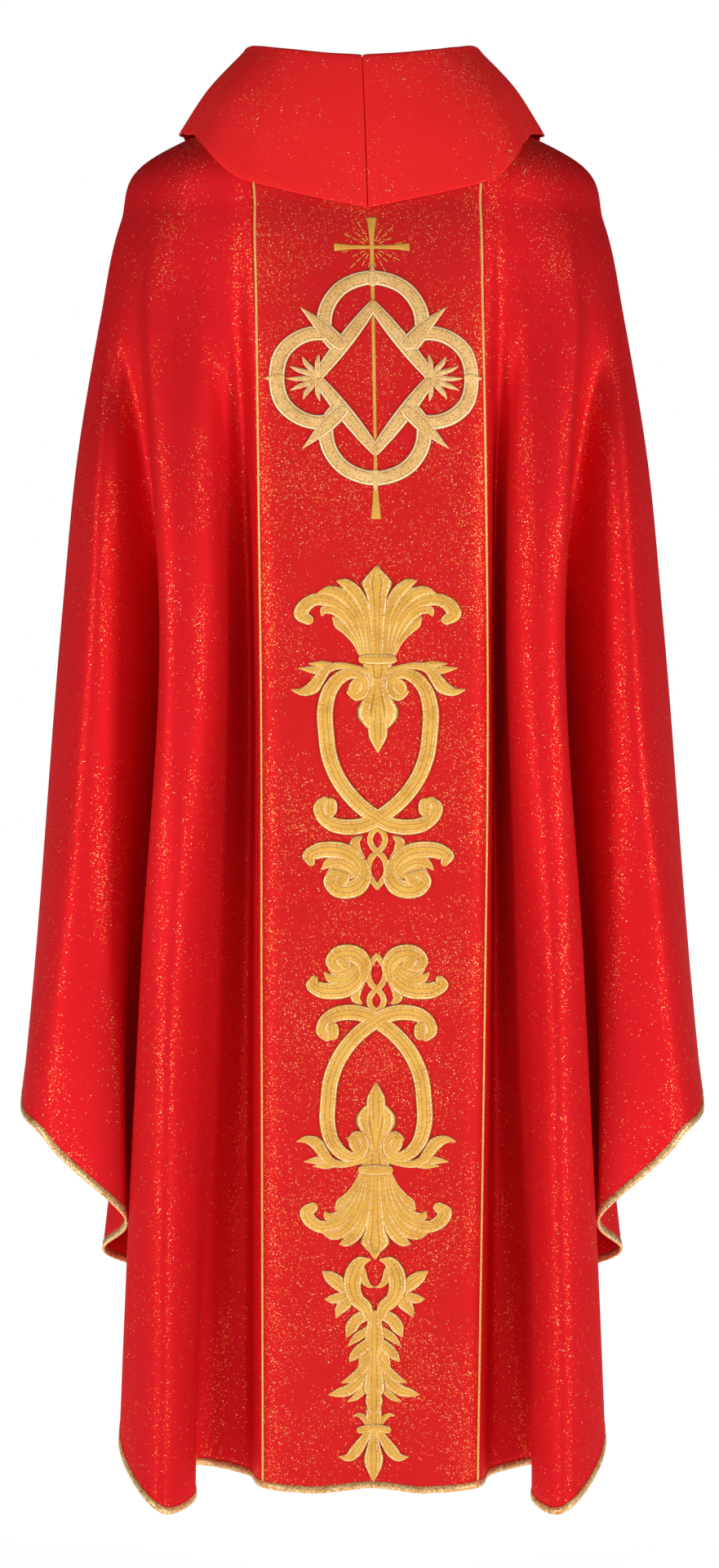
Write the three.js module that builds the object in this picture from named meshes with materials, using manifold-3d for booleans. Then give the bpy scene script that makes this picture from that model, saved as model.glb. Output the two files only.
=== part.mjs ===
// Gothic chasuble, hung from the neck as a wearer or a stand holds it.
// Millimetres. +Z is up, -Y is the back of the garment, +Y is the front.
// The origin is the centre of the neck opening, at the height where neck and shoulder meet.
import * as THREE from 'three';
import { mergeVertices } from 'three/addons/utils/BufferGeometryUtils.js';
import Module from 'manifold-3d';

const wasm = await Module();
wasm.setup();

// ---------------------------------------------------------------- driving dimensions
const CLOTH = 1.0;              // thickness of one ply of lame cloth
const GAP = 0.35;               // air between two pieces that are sewn together
const NECK_TOP = -1.5;          // where the body cloth stops below the neck seam
const CAP_EDGE = -69;           // lowest edge of the shoulder cap over the arm
const WING_EDGE = -75;          // upper edge of the part that lifts with the arm
const PIPING_RADIUS = 1.3;
const BINDING = { height: 6.5, thickness: 0.8, slack: 1.2 };
const FRONT_DEPTH = 0.86;       // the chest side is a little shallower than the back
const SIDE_PLANE = 15;          // y of the shoulder seam, between front and back
const PANEL_HALF = 100;         // half the width of the orphrey panel

// ---------------------------------------------------------------- the hanging cloth
// The cloth hangs in lines that run from the neck to the hem. Each line has its distance u
// across the flat cloth from the centre of the back, its hem height, and knots [z, x, y].
// They are given for the left half of the back, and the other three quarters mirror them.
const LINES = [
  { u: 0, hem: -1273, knots: [[0, 0, -75], [-54, 0, -106], [-110, 0, -124], [-200, 0, -138],
    [-330, 0, -147], [-640, 0, -153], [-1290, 0, -158]] },
  { u: 50, hem: -1278, knots: [[0, -38, -68], [-54, -52, -105], [-110, -52, -123], [-200, -52, -137],
    [-330, -52, -146], [-640, -50, -152], [-1290, -48, -156]] },
  { u: 100, hem: -1275, knots: [[0, -62, -53], [-54, -100, -100], [-110, -103, -116], [-200, -103, -129],
    [-330, -103, -138], [-640, -102, -143], [-1290, -97, -143]] },
  { u: 145, hem: -1270, knots: [[0, -68, -47], [-54, -117, -95], [-110, -121, -109], [-200, -120, -118],
    [-330, -114, -108], [-480, -111, -86], [-800, -112, -84], [-1290, -112, -98]] },
  { u: 200, hem: -1261, knots: [[0, -72, -42], [-54, -133, -90], [-110, -139, -105], [-200, -138, -116],
    [-330, -127, -116], [-480, -124, -107], [-800, -133, -111], [-1290, -163, -112]] },
  { u: 240, hem: -1284, knots: [[0, -76, -37], [-54, -145, -85], [-110, -152, -101], [-200, -153, -117],
    [-330, -140, -134], [-480, -134, -146], [-800, -151, -152], [-1290, -153, -152]] },
  { u: 285, hem: -1290, knots: [[0, -80, -31], [-54, -157, -77], [-110, -167, -95], [-200, -172, -115],
    [-330, -164, -142], [-480, -157, -159], [-800, -173, -172], [-1290, -182, -190]] },
  { u: 335, hem: -1242, knots: [[0, -83, -25], [-54, -170, -66], [-110, -182, -86], [-200, -193, -108],
    [-330, -188, -136], [-480, -181, -151], [-800, -199, -152], [-1100, -214, -144], [-1290, -222, -136]] },
  { u: 420, hem: -1095, knots: [[0, -85, -19], [-54, -180, -55], [-110, -197, -72], [-200, -207, -90],
    [-330, -194, -90], [-480, -185, -62], [-800, -190, -58], [-1290, -190, -62]] },
  { u: 465, hem: -1064, knots: [[0, -86, -14], [-54, -188, -44], [-110, -208, -58], [-200, -218, -79],
    [-330, -206, -85], [-480, -199, -79], [-800, -211, -82], [-1100, -242, -96]] },
  { u: 500, hem: -1035, knots: [[0, -87, -8], [-54, -194, -31], [-110, -216, -44], [-200, -227, -68],
    [-330, -219, -97], [-480, -212, -102], [-800, -219, -118], [-1100, -213, -140]] },
  { u: 555, hem: -966, knots: [[0, -88, -2], [-54, -199, -17], [-110, -222, -28], [-200, -238, -50],
    [-330, -241, -102], [-480, -244, -124], [-800, -268, -132], [-1050, -296, -112]] },
  { u: 650, hem: -895, knots: [[0, -88, 6], [-54, -203, 0], [-110, -226, -6], [-200, -244, -14],
    [-330, -265, -30], [-480, -279, -40], [-800, -303, -48], [-1050, -324, -50]] },
  { u: 720, hem: -690, knots: [[0, -88, 15], [-28, -158, 15], [-54, -203, 15], [-70, -214, 15],
    [-110, -225, 15], [-200, -240, 15], [-330, -255, 15], [-480, -266, 15], [-800, -280, 15]] },
];
const SEAM_U = 720;                                  // the shoulder seam
const HALF_ROUND = 2 * SEAM_U;                       // back centre round to front centre
const FOLD_U = 420;                                  // the deep valley behind the arm
const FOLD_GAP = 1;                                  // half the slit between body and wing there
const SWAY = [[0, 3], [-370, 9], [-590, 11], [-810, 10], [-1300, 7]];

function slopes(xs, ys) {
  const steps = xs.slice(1).map((x, i) => x - xs[i]);
  const rates = steps.map((h, i) => (ys[i + 1] - ys[i]) / h);
  return xs.map((x, i) => {
    if (i === 0) return rates[0];
    if (i === xs.length - 1) return rates[i - 1];
    const [before, after] = [steps[i - 1], steps[i]];
    return (rates[i - 1] * after + rates[i] * before) / (before + after);
  });
}

// A smooth curve through (xs, ys), held level outside its ends.
function smoothCurve(xs, ys) {
  const tangents = slopes(xs, ys);
  return (x) => {
    if (x <= xs[0]) return ys[0];
    if (x >= xs[xs.length - 1]) return ys[ys.length - 1];
    let i = 0;
    while (x > xs[i + 1]) i += 1;
    const h = xs[i + 1] - xs[i];
    const t = (x - xs[i]) / h;
    const s = 1 - t;
    return ys[i] * (1 + 2 * t) * s * s + ys[i + 1] * (3 - 2 * t) * t * t
      + h * tangents[i] * t * s * s - h * tangents[i + 1] * t * t * s;
  };
}

function columnCurve(rows, column) {
  const sorted = [...rows].sort((a, b) => a[0] - b[0]);
  return smoothCurve(sorted.map((row) => row[0]), sorted.map((row) => row[column]));
}

const sway = columnCurve(SWAY, 1);

// Back lines, the shoulder seam and the mirrored front lines, with one line more past each centre.
function allLines() {
  const back = LINES.map((line) => ({
    u: line.u,
    hem: line.hem,
    x: columnCurve(line.knots, 1),
    y: columnCurve(line.knots, 2),
  }));
  const front = back.slice(0, -1).reverse().map((line) => ({
    u: HALF_ROUND - line.u,
    hem: line.hem,
    x: line.x,
    y: (z) => SIDE_PLANE - FRONT_DEPTH * (line.y(z) - SIDE_PLANE),
  }));
  const half = [...back, ...front];
  const beyond = (line, centre) => ({ ...line, u: 2 * centre - line.u, x: (z) => -line.x(z) });
  return [beyond(half[1], 0), ...half, beyond(half[half.length - 2], HALF_ROUND)];
}

const lines = allLines();
const lineU = lines.map((line) => line.u);
const hemAt = smoothCurve(lineU, lines.map((line) => line.hem));

// The panel and its piping stray sideways a little: all of it inside u = 100, none past 285.
function swayShare(u) {
  const fromCentre = Math.min(u, HALF_ROUND - u);
  const t = THREE.MathUtils.clamp((fromCentre - PANEL_HALF) / 185, 0, 1);
  return 1 - t * t * (3 - 2 * t);
}

const sections = new Map();
function sectionAt(z) {
  const key = z.toFixed(3);
  if (!sections.has(key)) {
    sections.set(key, {
      x: smoothCurve(lineU, lines.map((line) => line.x(z))),
      y: smoothCurve(lineU, lines.map((line) => line.y(z))),
    });
  }
  return sections.get(key);
}

// A point of the cloth's middle surface. side is -1 on the left half and +1 on the right.
function clothPoint(side, u, z) {
  const section = sectionAt(z);
  return new THREE.Vector3(-side * section.x(u) + sway(z) * swayShare(u), section.y(u), z);
}

function clothNormal(side, u, z) {
  const across = clothPoint(side, u + 0.5, z).sub(clothPoint(side, u - 0.5, z));
  const down = clothPoint(side, u, z - 0.5).sub(clothPoint(side, u, z + 0.5));
  return across.cross(down).multiplyScalar(-side).normalize();
}

function offsetPoint(side, u, z, offset) {
  return clothPoint(side, u, z).addScaledVector(clothNormal(side, u, z), offset);
}

// How far up a column one millimetre measured squarely from the hem's edge reaches.
function hemRise(u) {
  const run = clothPoint(1, u + 1, hemAt(u)).distanceTo(clothPoint(1, u - 1, hemAt(u)));
  return Math.hypot(1, (hemAt(u + 1) - hemAt(u - 1)) / run);
}

const aboveHem = (u, distance) => hemAt(u) + distance * hemRise(u);

// A column of the cloth that keeps a distance in millimetres from the line at u.
function beside(u, distance) {
  return (z) => u + distance / clothPoint(1, u + 0.5, z).distanceTo(clothPoint(1, u - 0.5, z));
}

const columnAt = (column, z) => (typeof column === 'function' ? column(z) : column);

// Rows run from the neck (0) to the shoulder break (1), on from there (1+) to the top of the
// hem binding (2), and end at the raw edge that the binding holds (3).
const HEM_ROW = 3;
function rowHeight(u, row) {
  if (row <= 1) return THREE.MathUtils.lerp(NECK_TOP, CAP_EDGE, row);
  if (row === HEM_ROW) return aboveHem(u, BINDING.thickness + BINDING.slack);
  return THREE.MathUtils.lerp(WING_EDGE, aboveHem(u, BINDING.height + BINDING.slack), row - 1);
}

function spread(from, to, count) {
  return Array.from({ length: count }, (_, i) => from + ((to - from) * i) / (count - 1));
}
const CAP_ROWS = spread(0, 1, 4);
const HANGING_ROWS = spread(1.0001, 2, 9);
const SHORT_ROWS = [...CAP_ROWS, ...HANGING_ROWS];
const ROWS = [...SHORT_ROWS, HEM_ROW];

// ---------------------------------------------------------------- building solids
function solidGeometry(vertices, faces) {
  let volume = 0;
  for (const [a, b, c] of faces) {
    volume += vertices[a].dot(new THREE.Vector3().crossVectors(vertices[b], vertices[c]));
  }
  const ordered = volume > 0 ? faces : faces.map(([a, b, c]) => [a, c, b]);
  const geometry = new THREE.BufferGeometry();
  const coordinates = vertices.flatMap((v) => [v.x, v.y, v.z]);
  geometry.setAttribute('position', new THREE.Float32BufferAttribute(coordinates, 3));
  geometry.setIndex(ordered.flat());
  geometry.computeVertexNormals();
  return geometry;
}

// A sheet with thickness: place(i, j, layer) gives the corner points, layer 0 outside and 1
// inside, and keep(i, j) says which cells of the grid are cloth.
function slabGeometry(columns, rows, place, keep = () => true) {
  const vertices = [];
  const faces = [];
  const ids = new Map();
  const vertex = (i, j, layer) => {
    const key = `${i},${j},${layer}`;
    if (!ids.has(key)) {
      ids.set(key, vertices.length);
      vertices.push(place(i, j, layer));
    }
    return ids.get(key);
  };
  const kept = (i, j) => i >= 0 && j >= 0 && i < columns - 1 && j < rows - 1 && keep(i, j);
  const quad = (a, b, c, d) => faces.push([a, b, c], [a, c, d]);
  const wall = (p, q) => quad(vertex(...q, 0), vertex(...p, 0), vertex(...p, 1), vertex(...q, 1));
  for (let i = 0; i < columns - 1; i += 1) {
    for (let j = 0; j < rows - 1; j += 1) {
      if (!kept(i, j)) continue;
      const ring = [[i, j], [i + 1, j], [i + 1, j + 1], [i, j + 1]];
      const [a, b, c, d] = ring.map((corner) => vertex(...corner, 0));
      faces.push([a, b, c], [a, c, d]);
      const [e, f, g, h] = ring.map((corner) => vertex(...corner, 1));
      faces.push([e, g, f], [e, h, g]);
      const neighbours = [[i, j - 1], [i + 1, j], [i, j + 1], [i - 1, j]];
      neighbours.forEach((cell, k) => {
        if (!kept(...cell)) wall(ring[k], ring[(k + 1) % 4]);
      });
    }
  }
  return solidGeometry(vertices, faces);
}

// A tube along a route. section lists its corners as [right, up] pairs, and place(i, corner)
// puts a corner at step i.
function tubeGeometry(section, steps, place) {
  const vertices = [];
  for (let i = 0; i < steps; i += 1) section.forEach((corner) => vertices.push(place(i, corner)));
  const size = section.length;
  const faces = [];
  for (let i = 0; i < steps - 1; i += 1) {
    for (let k = 0; k < size; k += 1) {
      const a = i * size + k;
      const b = i * size + ((k + 1) % size);
      faces.push(...splitQuad(vertices, a, b, b + size, a + size));
    }
  }
  const last = (steps - 1) * size;
  const outline = section.map(([x, y]) => new THREE.Vector2(x, y));
  for (const [a, b, c] of THREE.ShapeUtils.triangulateShape(outline, [])) {
    const turn = signedArea(section) > 0 ? [a, b, c] : [c, b, a];
    faces.push([turn[0], turn[2], turn[1]], turn.map((k) => k + last));
  }
  return solidGeometry(vertices, faces);
}

// Two triangles for the quad a, b, c, d, split along its shorter diagonal.
function splitQuad(vertices, a, b, c, d) {
  const alongAC = vertices[a].distanceTo(vertices[c]) <= vertices[b].distanceTo(vertices[d]);
  return alongAC ? [[a, b, c], [a, c, d]] : [[a, b, d], [b, c, d]];
}

function signedArea(outline) {
  return outline.reduce((sum, [x, y], i) => {
    const [nextX, nextY] = outline[(i + 1) % outline.length];
    return sum + (x * nextY - nextX * y) / 2;
  }, 0);
}

function roundSection(radius, sides) {
  return Array.from({ length: sides }, (_, k) => {
    const angle = (2 * Math.PI * k) / sides;
    return [radius * Math.cos(angle), radius * Math.sin(angle)];
  });
}

// ---------------------------------------------------------------- materials and the assembly
const FINISHES = {
  lame: { color: 0xd22c26, roughness: 0.5, metalness: 0.15 },
  panel: { color: 0xc92822, roughness: 0.45, metalness: 0.2 },
  interlining: { color: 0xb8a98c, roughness: 0.9, metalness: 0 },
  goldCord: { color: 0xc9963c, roughness: 0.45, metalness: 0.6 },
  goldBinding: { color: 0xc49a4a, roughness: 0.4, metalness: 0.5 },
  goldThread: { color: 0xd9a441, roughness: 0.5, metalness: 0.35 },
  paleThread: { color: 0xe3c078, roughness: 0.5, metalness: 0.3 },
};

const chasuble = new THREE.Group();

function addPiece(name, geometry, finish) {
  const mesh = new THREE.Mesh(geometry, new THREE.MeshStandardMaterial(FINISHES[finish]));
  mesh.name = name;
  chasuble.add(mesh);
}

const SIDES = [['left', -1], ['right', 1]];

function fromFrontCentre(column) {
  return typeof column === 'function' ? (z) => HALF_ROUND - column(z) : HALF_ROUND - column;
}

// The same columns counted from the back centre, or from the front centre.
const FACES = [['back', (column) => column], ['front', fromFrontCentre]];

// A ply of cloth between two columns of the flat cloth, at a given depth below the surface.
function clothPly(side, columns, rows, outer, inner, keep) {
  const place = (i, j, layer) => {
    let u = columnAt(columns[i], WING_EDGE);
    for (let pass = 0; pass < 3; pass += 1) u = columnAt(columns[i], rowHeight(u, rows[j]));
    return offsetPoint(side, u, rowHeight(u, rows[j]), layer === 0 ? outer : inner);
  };
  return slabGeometry(columns.length, rows.length, place, keep);
}

// ---------------------------------------------------------------- body cloth and wings
const SEAM_ALLOWANCE = PIPING_RADIUS + GAP;
const BODY_COLUMNS = [beside(PANEL_HALF, SEAM_ALLOWANCE), 115, 130, 145, 172, 200, 220, 240, 262, 285,
  310, 335, 350, 367, 385, 400, 411, beside(FOLD_U, -FOLD_GAP)];
const WING_COLUMNS = [beside(FOLD_U, FOLD_GAP), 442, 465, 482, 500, 512, 527, 555, 600, 650, 685,
  beside(SEAM_U, -GAP / 2)];
const WING_ROWS = [...HANGING_ROWS, HEM_ROW];

function addBodyCloth() {
  const columns = [...BODY_COLUMNS, ...WING_COLUMNS.slice(1)];
  const inCloth = (i, j) => i < BODY_COLUMNS.length - 1 || j < CAP_ROWS.length - 1;
  for (const [face, across] of FACES) {
    for (const [name, side] of SIDES) {
      const body = clothPly(side, columns.map(across), ROWS, CLOTH / 2, -CLOTH / 2, inCloth);
      addPiece(`${face}_body_${name}`, body, 'lame');
      const wingColumns = WING_COLUMNS.map(across);
      const wing = clothPly(side, wingColumns, WING_ROWS, CLOTH / 2, -CLOTH / 2);
      addPiece(`${face}_wing_${name}`, wing, 'lame');
    }
  }
}

// ---------------------------------------------------------------- orphrey panels and piping
const PANEL_POSITIONS = spread(-1, 1, 9);
const PANEL_EDGE = beside(PANEL_HALF, -SEAM_ALLOWANCE);

function panelPly(across, rows, outer, inner) {
  const place = (i, j, layer) => {
    const edge = PANEL_EDGE(rowHeight(PANEL_HALF, rows[j]));
    const u = across(Math.abs(PANEL_POSITIONS[i]) * edge);
    const side = PANEL_POSITIONS[i] < 0 ? -1 : 1;
    return offsetPoint(side, u, rowHeight(u, rows[j]), layer === 0 ? outer : inner);
  };
  return slabGeometry(PANEL_POSITIONS.length, rows.length, place);
}

function pipingGeometry(side, across) {
  const u = across(PANEL_HALF);
  const heights = SHORT_ROWS.map((row) => rowHeight(u, row));
  return tubeGeometry(roundSection(PIPING_RADIUS, 6), heights.length, (i, [right, up]) => {
    const z = heights[i];
    const sideways = clothPoint(side, u + 0.5, z).sub(clothPoint(side, u - 0.5, z)).normalize();
    return offsetPoint(side, u, z, up + CLOTH / 2).addScaledVector(sideways, right);
  });
}

function addPanels() {
  const inside = -CLOTH / 2 - GAP;
  for (const [face, across] of FACES) {
    addPiece(`${face}_orphrey`, panelPly(across, ROWS, CLOTH / 2, -CLOTH / 2), 'panel');
    addPiece(`${face}_interlining`, panelPly(across, SHORT_ROWS, inside, inside - CLOTH), 'interlining');
    for (const [name, side] of SIDES) {
      addPiece(`${face}_piping_${name}`, pipingGeometry(side, across), 'goldCord');
    }
  }
}

// ---------------------------------------------------------------- hem bindings
// The binding is one folded strip: its section is a U that holds the cloth's raw edge.
const REACH = CLOTH / 2 + BINDING.slack;
const BINDING_SECTION = [
  [REACH + BINDING.thickness, BINDING.height],
  [REACH + BINDING.thickness, 0],
  [-REACH - BINDING.thickness, 0],
  [-REACH - BINDING.thickness, BINDING.height],
  [-REACH, BINDING.height],
  [-REACH, BINDING.thickness],
  [REACH, BINDING.thickness],
  [REACH, BINDING.height],
];

// stations are [side, u] pairs along the hem.
function bindingGeometry(stations) {
  return tubeGeometry(BINDING_SECTION, stations.length, (i, [out, up]) => {
    const [side, u] = stations[i];
    return offsetPoint(side, u, aboveHem(u, up), out);
  });
}

function addBindings() {
  const bodyStart = BODY_COLUMNS[0](hemAt(PANEL_HALF));
  const bodyEnd = BODY_COLUMNS.at(-1)(hemAt(FOLD_U));
  const wingStart = WING_COLUMNS[0](hemAt(FOLD_U));
  const tips = [bodyStart, ...BODY_COLUMNS.slice(1, -1), bodyEnd];
  const hemEdge = PANEL_EDGE(hemAt(PANEL_HALF));
  const panelTips = PANEL_POSITIONS.filter((share) => share > 0).map((share) => share * hemEdge);
  for (const [face, across] of FACES) {
    const right = [...panelTips, ...tips];
    const stations = [
      ...right.map((u) => [-1, across(u)]).reverse(),
      [1, across(0)],
      ...right.map((u) => [1, across(u)]),
    ];
    addPiece(`${face}_hem_binding`, bindingGeometry(stations), 'goldBinding');
    for (const [name, side] of SIDES) {
      const along = [wingStart, ...WING_COLUMNS.slice(1, -1), SEAM_U - GAP];
      const wing = bindingGeometry(along.map((u) => [side, across(u)]));
      addPiece(`${face}_wing_binding_${name}`, wing, 'goldBinding');
    }
  }
}

// ---------------------------------------------------------------- shoulder seams
// A tape covers the seam allowances on the inside, from the neck down to the edge of the sleeve.
const TAPE = { halfWidth: 7, thickness: 0.6, slack: 0.9 };

function addSeamTapes() {
  const outer = -CLOTH / 2 - TAPE.slack;
  const columns = [SEAM_U - TAPE.halfWidth, SEAM_U, SEAM_U + TAPE.halfWidth];
  for (const [name, side] of SIDES) {
    const cap = clothPly(side, columns, CAP_ROWS, outer, outer - TAPE.thickness);
    addPiece(`shoulder_tape_${name}`, cap, 'lame');
    const place = (i, j, layer) => {
      const height = THREE.MathUtils.lerp(WING_EDGE, hemAt(SEAM_U) + BINDING.height + 4, j / 9);
      return offsetPoint(side, columns[i], height, layer === 0 ? outer : outer - TAPE.thickness);
    };
    addPiece(`wing_tape_${name}`, slabGeometry(columns.length, 10, place), 'lame');
  }
}

// ---------------------------------------------------------------- roll collar
// Crest of the roll and lower edge of the fall, by distance u round the neck: [u, x, y, z]
// and [u, z]. Both are given for the left half of the back and mirrored to the front.
const CREST = [[0, 0, -92, 34], [50, -34, -89, 36], [100, -62, -80, 40], [200, -84, -62, 45],
  [335, -99, -38, 50], [500, -106, -12, 53], [720, -109, 15, 54]];
const FALL_EDGE = [[0, -112], [50, -101], [100, -87], [145, -78], [200, -63], [240, -53],
  [285, -46], [335, -40], [420, -36], [500, -32], [720, -28]];
const COLLAR_COLUMNS = [0, 50, 100, 145, 200, 285, 380, 500, 620, SEAM_U];
const COLLAR_CLEARANCE = 4.5;       // of the fall above the body cloth
const COLLAR_FRONT_DROP = 14;       // the crest is lower at the throat

const mirrorRows = (rows) => [
  ...rows,
  ...rows.slice(0, -1).reverse().map(([u, ...rest]) => [HALF_ROUND - u, ...rest]),
];
const crestX = columnCurve(mirrorRows(CREST), 1);
const crestY = columnCurve(CREST, 2);
const crestZ = columnCurve(mirrorRows(CREST), 3);
const fallEdge = columnCurve(mirrorRows(FALL_EDGE), 1);

function crestPoint(side, u) {
  const isFront = u > SEAM_U;
  const y = isFront ? SIDE_PLANE - FRONT_DEPTH * (crestY(HALF_ROUND - u) - SIDE_PLANE) : crestY(u);
  const frontness = Math.max(0, (u - SEAM_U) / SEAM_U);
  const drop = COLLAR_FRONT_DROP * frontness * frontness;
  return new THREE.Vector3(-side * crestX(u), y, crestZ(u) - drop);
}

// The collar's profile at one place round the neck, from the neck seam up the stand, over
// the roll and down the fall, as a curve in the plane that faces outward there.
function collarProfile(side, u) {
  const crest = crestPoint(side, u);
  const seam = clothPoint(side, u, 0).add(new THREE.Vector3(0, 0, 1.5));
  const edge = offsetPoint(side, u, fallEdge(u), COLLAR_CLEARANCE);
  const outward = new THREE.Vector3(crest.x, crest.y - SIDE_PLANE / 2, 0).normalize();
  const inner = crest.clone().addScaledVector(outward, -9);
  const middle = crest.clone().lerp(edge, 0.5).addScaledVector(outward, 2).add(new THREE.Vector3(0, 0, 2));
  return new THREE.CatmullRomCurve3([
    seam,
    seam.clone().lerp(inner, 0.6).addScaledVector(outward, -1),
    inner.clone().add(new THREE.Vector3(0, 0, -6)),
    crest.clone().addScaledVector(outward, -4.5),
    crest.clone().add(new THREE.Vector3(0, 0, -5)),
    middle,
    edge,
  ], false, 'centripetal');
}

const COLLAR_STEPS = [0, 1 / 6, 2 / 6, 2.5 / 6, 3 / 6, 3.5 / 6, 4 / 6, 4.5 / 6, 5 / 6, 5.5 / 6, 1];

// Offset positive is the side that shows: outside on the fall, inside on the stand.
function collarPoint(side, u, t, offset) {
  const profile = collarProfile(side, u);
  const beside = collarProfile(side, u + (u > SEAM_U ? -2 : 2));
  const along = profile.getTangent(t);
  const sideways = beside.getPoint(t).sub(profile.getPoint(t));
  const turn = u > SEAM_U ? -side : side;
  const normal = sideways.cross(along).multiplyScalar(-turn).normalize();
  return profile.getPoint(t).addScaledVector(normal, offset);
}

function collarPly(side, outer, inner) {
  const columns = [...COLLAR_COLUMNS, ...COLLAR_COLUMNS.slice(0, -1).reverse().map((u) => HALF_ROUND - u)];
  const place = (i, j, layer) => {
    const point = collarPoint(side, columns[i], COLLAR_STEPS[j], layer === 0 ? outer : inner);
    const nearSeam = i === 0 || i === columns.length - 1;
    if (nearSeam) point.x = side * GAP / 2;
    return point;
  };
  return slabGeometry(columns.length, COLLAR_STEPS.length, place);
}

function addCollar() {
  for (const [name, side] of SIDES) {
    addPiece(`collar_${name}`, collarPly(side, GAP / 2 + CLOTH, GAP / 2), 'lame');
    addPiece(`under_collar_${name}`, collarPly(side, -GAP / 2, -GAP / 2 - CLOTH), 'lame');
  }
}

// ---------------------------------------------------------------- hanging loop
// A cloth loop sewn inside the back of the neck, for a peg.
const LOOP = { halfWidth: 16, drop: 34, width: 5, thickness: 1.4, top: -10, depth: 9 };

function addHangingLoop() {
  const section = [
    [LOOP.width / 2, LOOP.thickness / 2],
    [-LOOP.width / 2, LOOP.thickness / 2],
    [-LOOP.width / 2, -LOOP.thickness / 2],
    [LOOP.width / 2, -LOOP.thickness / 2],
  ];
  const steps = 13;
  const geometry = tubeGeometry(section, steps, (i, [across, up]) => {
    const angle = (Math.PI * i) / (steps - 1);
    const radius = LOOP.halfWidth + across;
    const z = LOOP.top - Math.sin(angle) * (LOOP.drop + across);
    const inner = clothPoint(1, 0, z).y + LOOP.depth + up;
    return new THREE.Vector3(sway(0) - radius * Math.cos(angle), inner, z);
  });
  addPiece('hanging_loop', geometry, 'lame');
}

// ---------------------------------------------------------------- embroidery
// Each motif is a set of satin strokes that run into one another, raised above the panel by a
// filling of thread. A stroke is a row of [s, depth, half width]: s is measured from the
// motif's centre line and depth down from the origin. A half width of 0 makes a point. lift is
// the height of the stitching's underside above the middle of the panel.
const THREAD = { thickness: 0.8, lift: 1.3, centre: 3 };

// The cross is a grid of cells. Its columns -1 and 1 are the sides of the shaft, whose half
// width is the second number of each row, and the cells between rows 2 and 3 are its arms.
const CROSS = {
  centre: 147.5,
  columns: [-33, -12, -1, 1, 12, 33],
  rows: [[120, 5], [140, 2.3], [145.5, 2], [149.5, 2], [180, 1.8], [225, 1.5], [275, 1.4], [325, 1.6],
    [370, 2], [396, 4.8]],
};

// A four-lobed tracery ring with spurs, a lozenge laced through it and a sprig at each side.
const MEDALLION = {
  middle: [
    [[-36, 236, 6], [-41, 211, 7], [-28, 186, 7], [0, 176, 7], [28, 186, 7], [41, 211, 7], [36, 236, 6]],
    [[-36, 299, 6], [-41, 324, 7], [-28, 349, 7], [0, 359, 7], [28, 349, 7], [41, 324, 7], [36, 299, 6]],
    [[0, 178, 6], [0, 164, 0]],
    [[0, 357, 6], [0, 371, 0]],
  ],
  mirrored: [
    [[33, 232, 6], [57, 228, 7], [77, 243, 7], [83, 267.5, 7], [77, 292, 7], [57, 307, 7], [33, 303, 6]],
    [[32, 234, 7], [50, 216, 5], [63, 203, 0]],
    [[32, 301, 7], [50, 319, 5], [63, 332, 0]],
    [[82, 267.5, 6], [94, 267.5, 0]],
    [[0, 201, 4.5], [50, 267.5, 4.5], [0, 334, 4.5]],
    [[46, 267.5, 3], [62, 267.5, 3], [74, 267.5, 0]],
    [[47, 266, 3], [57, 257, 2.6], [65, 249, 0]],
    [[47, 269, 3], [57, 278, 2.6], [65, 286, 0]],
  ],
};

const SCROLL = {
  middle: [
    [[0, 524, 7], [0, 470, 9], [0, 453, 14], [0, 438, 0]],
    [[-16, 523.5, 4], [16, 523.5, 4]],
    [[0, 526, 12], [0, 548, 7], [0, 572, 19], [0, 588, 10], [0, 608, 0]],
  ],
  mirrored: [
    [[6, 520, 3], [12, 475, 5], [22, 459, 6], [35.5, 452, 0]],
    [[9, 520, 3], [20, 476, 6.5], [34, 463, 6], [52, 463, 0]],
    [[11, 520, 3], [26, 481, 6], [42, 470, 6], [58, 470, 6], [65, 482, 6], [61, 489, 4]],
    [[8, 531, 6], [35, 529, 4], [48, 537, 5], [58, 549, 6], [75, 550.5, 0]],
    [[11, 550, 4], [20, 538, 5], [34, 542, 6], [44, 555, 7], [47, 578, 7.5], [42, 615, 7.5], [22, 650, 7.5],
      [-12, 673, 7.5], [-38, 673, 7], [-50, 660, 6]],
    [[0, 676, 4], [7, 688, 3], [0, 697.5, 3], [-8, 711, 3], [-6, 722, 3], [0, 731, 3]],
    [[14, 680, 3], [20, 692, 5.5], [12, 714, 2]],
    [[12, 727, 3], [17, 712, 6], [31, 699, 7.5], [48, 697, 7.5], [61, 702, 6], [60, 711, 3.5]],
    [[18, 724, 5], [30, 708, 5], [46, 714, 0]],
    [[13, 712, 4], [14, 726, 5], [24, 737, 6.5], [38, 737, 6.5], [46, 727, 4]],
  ],
};

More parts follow.
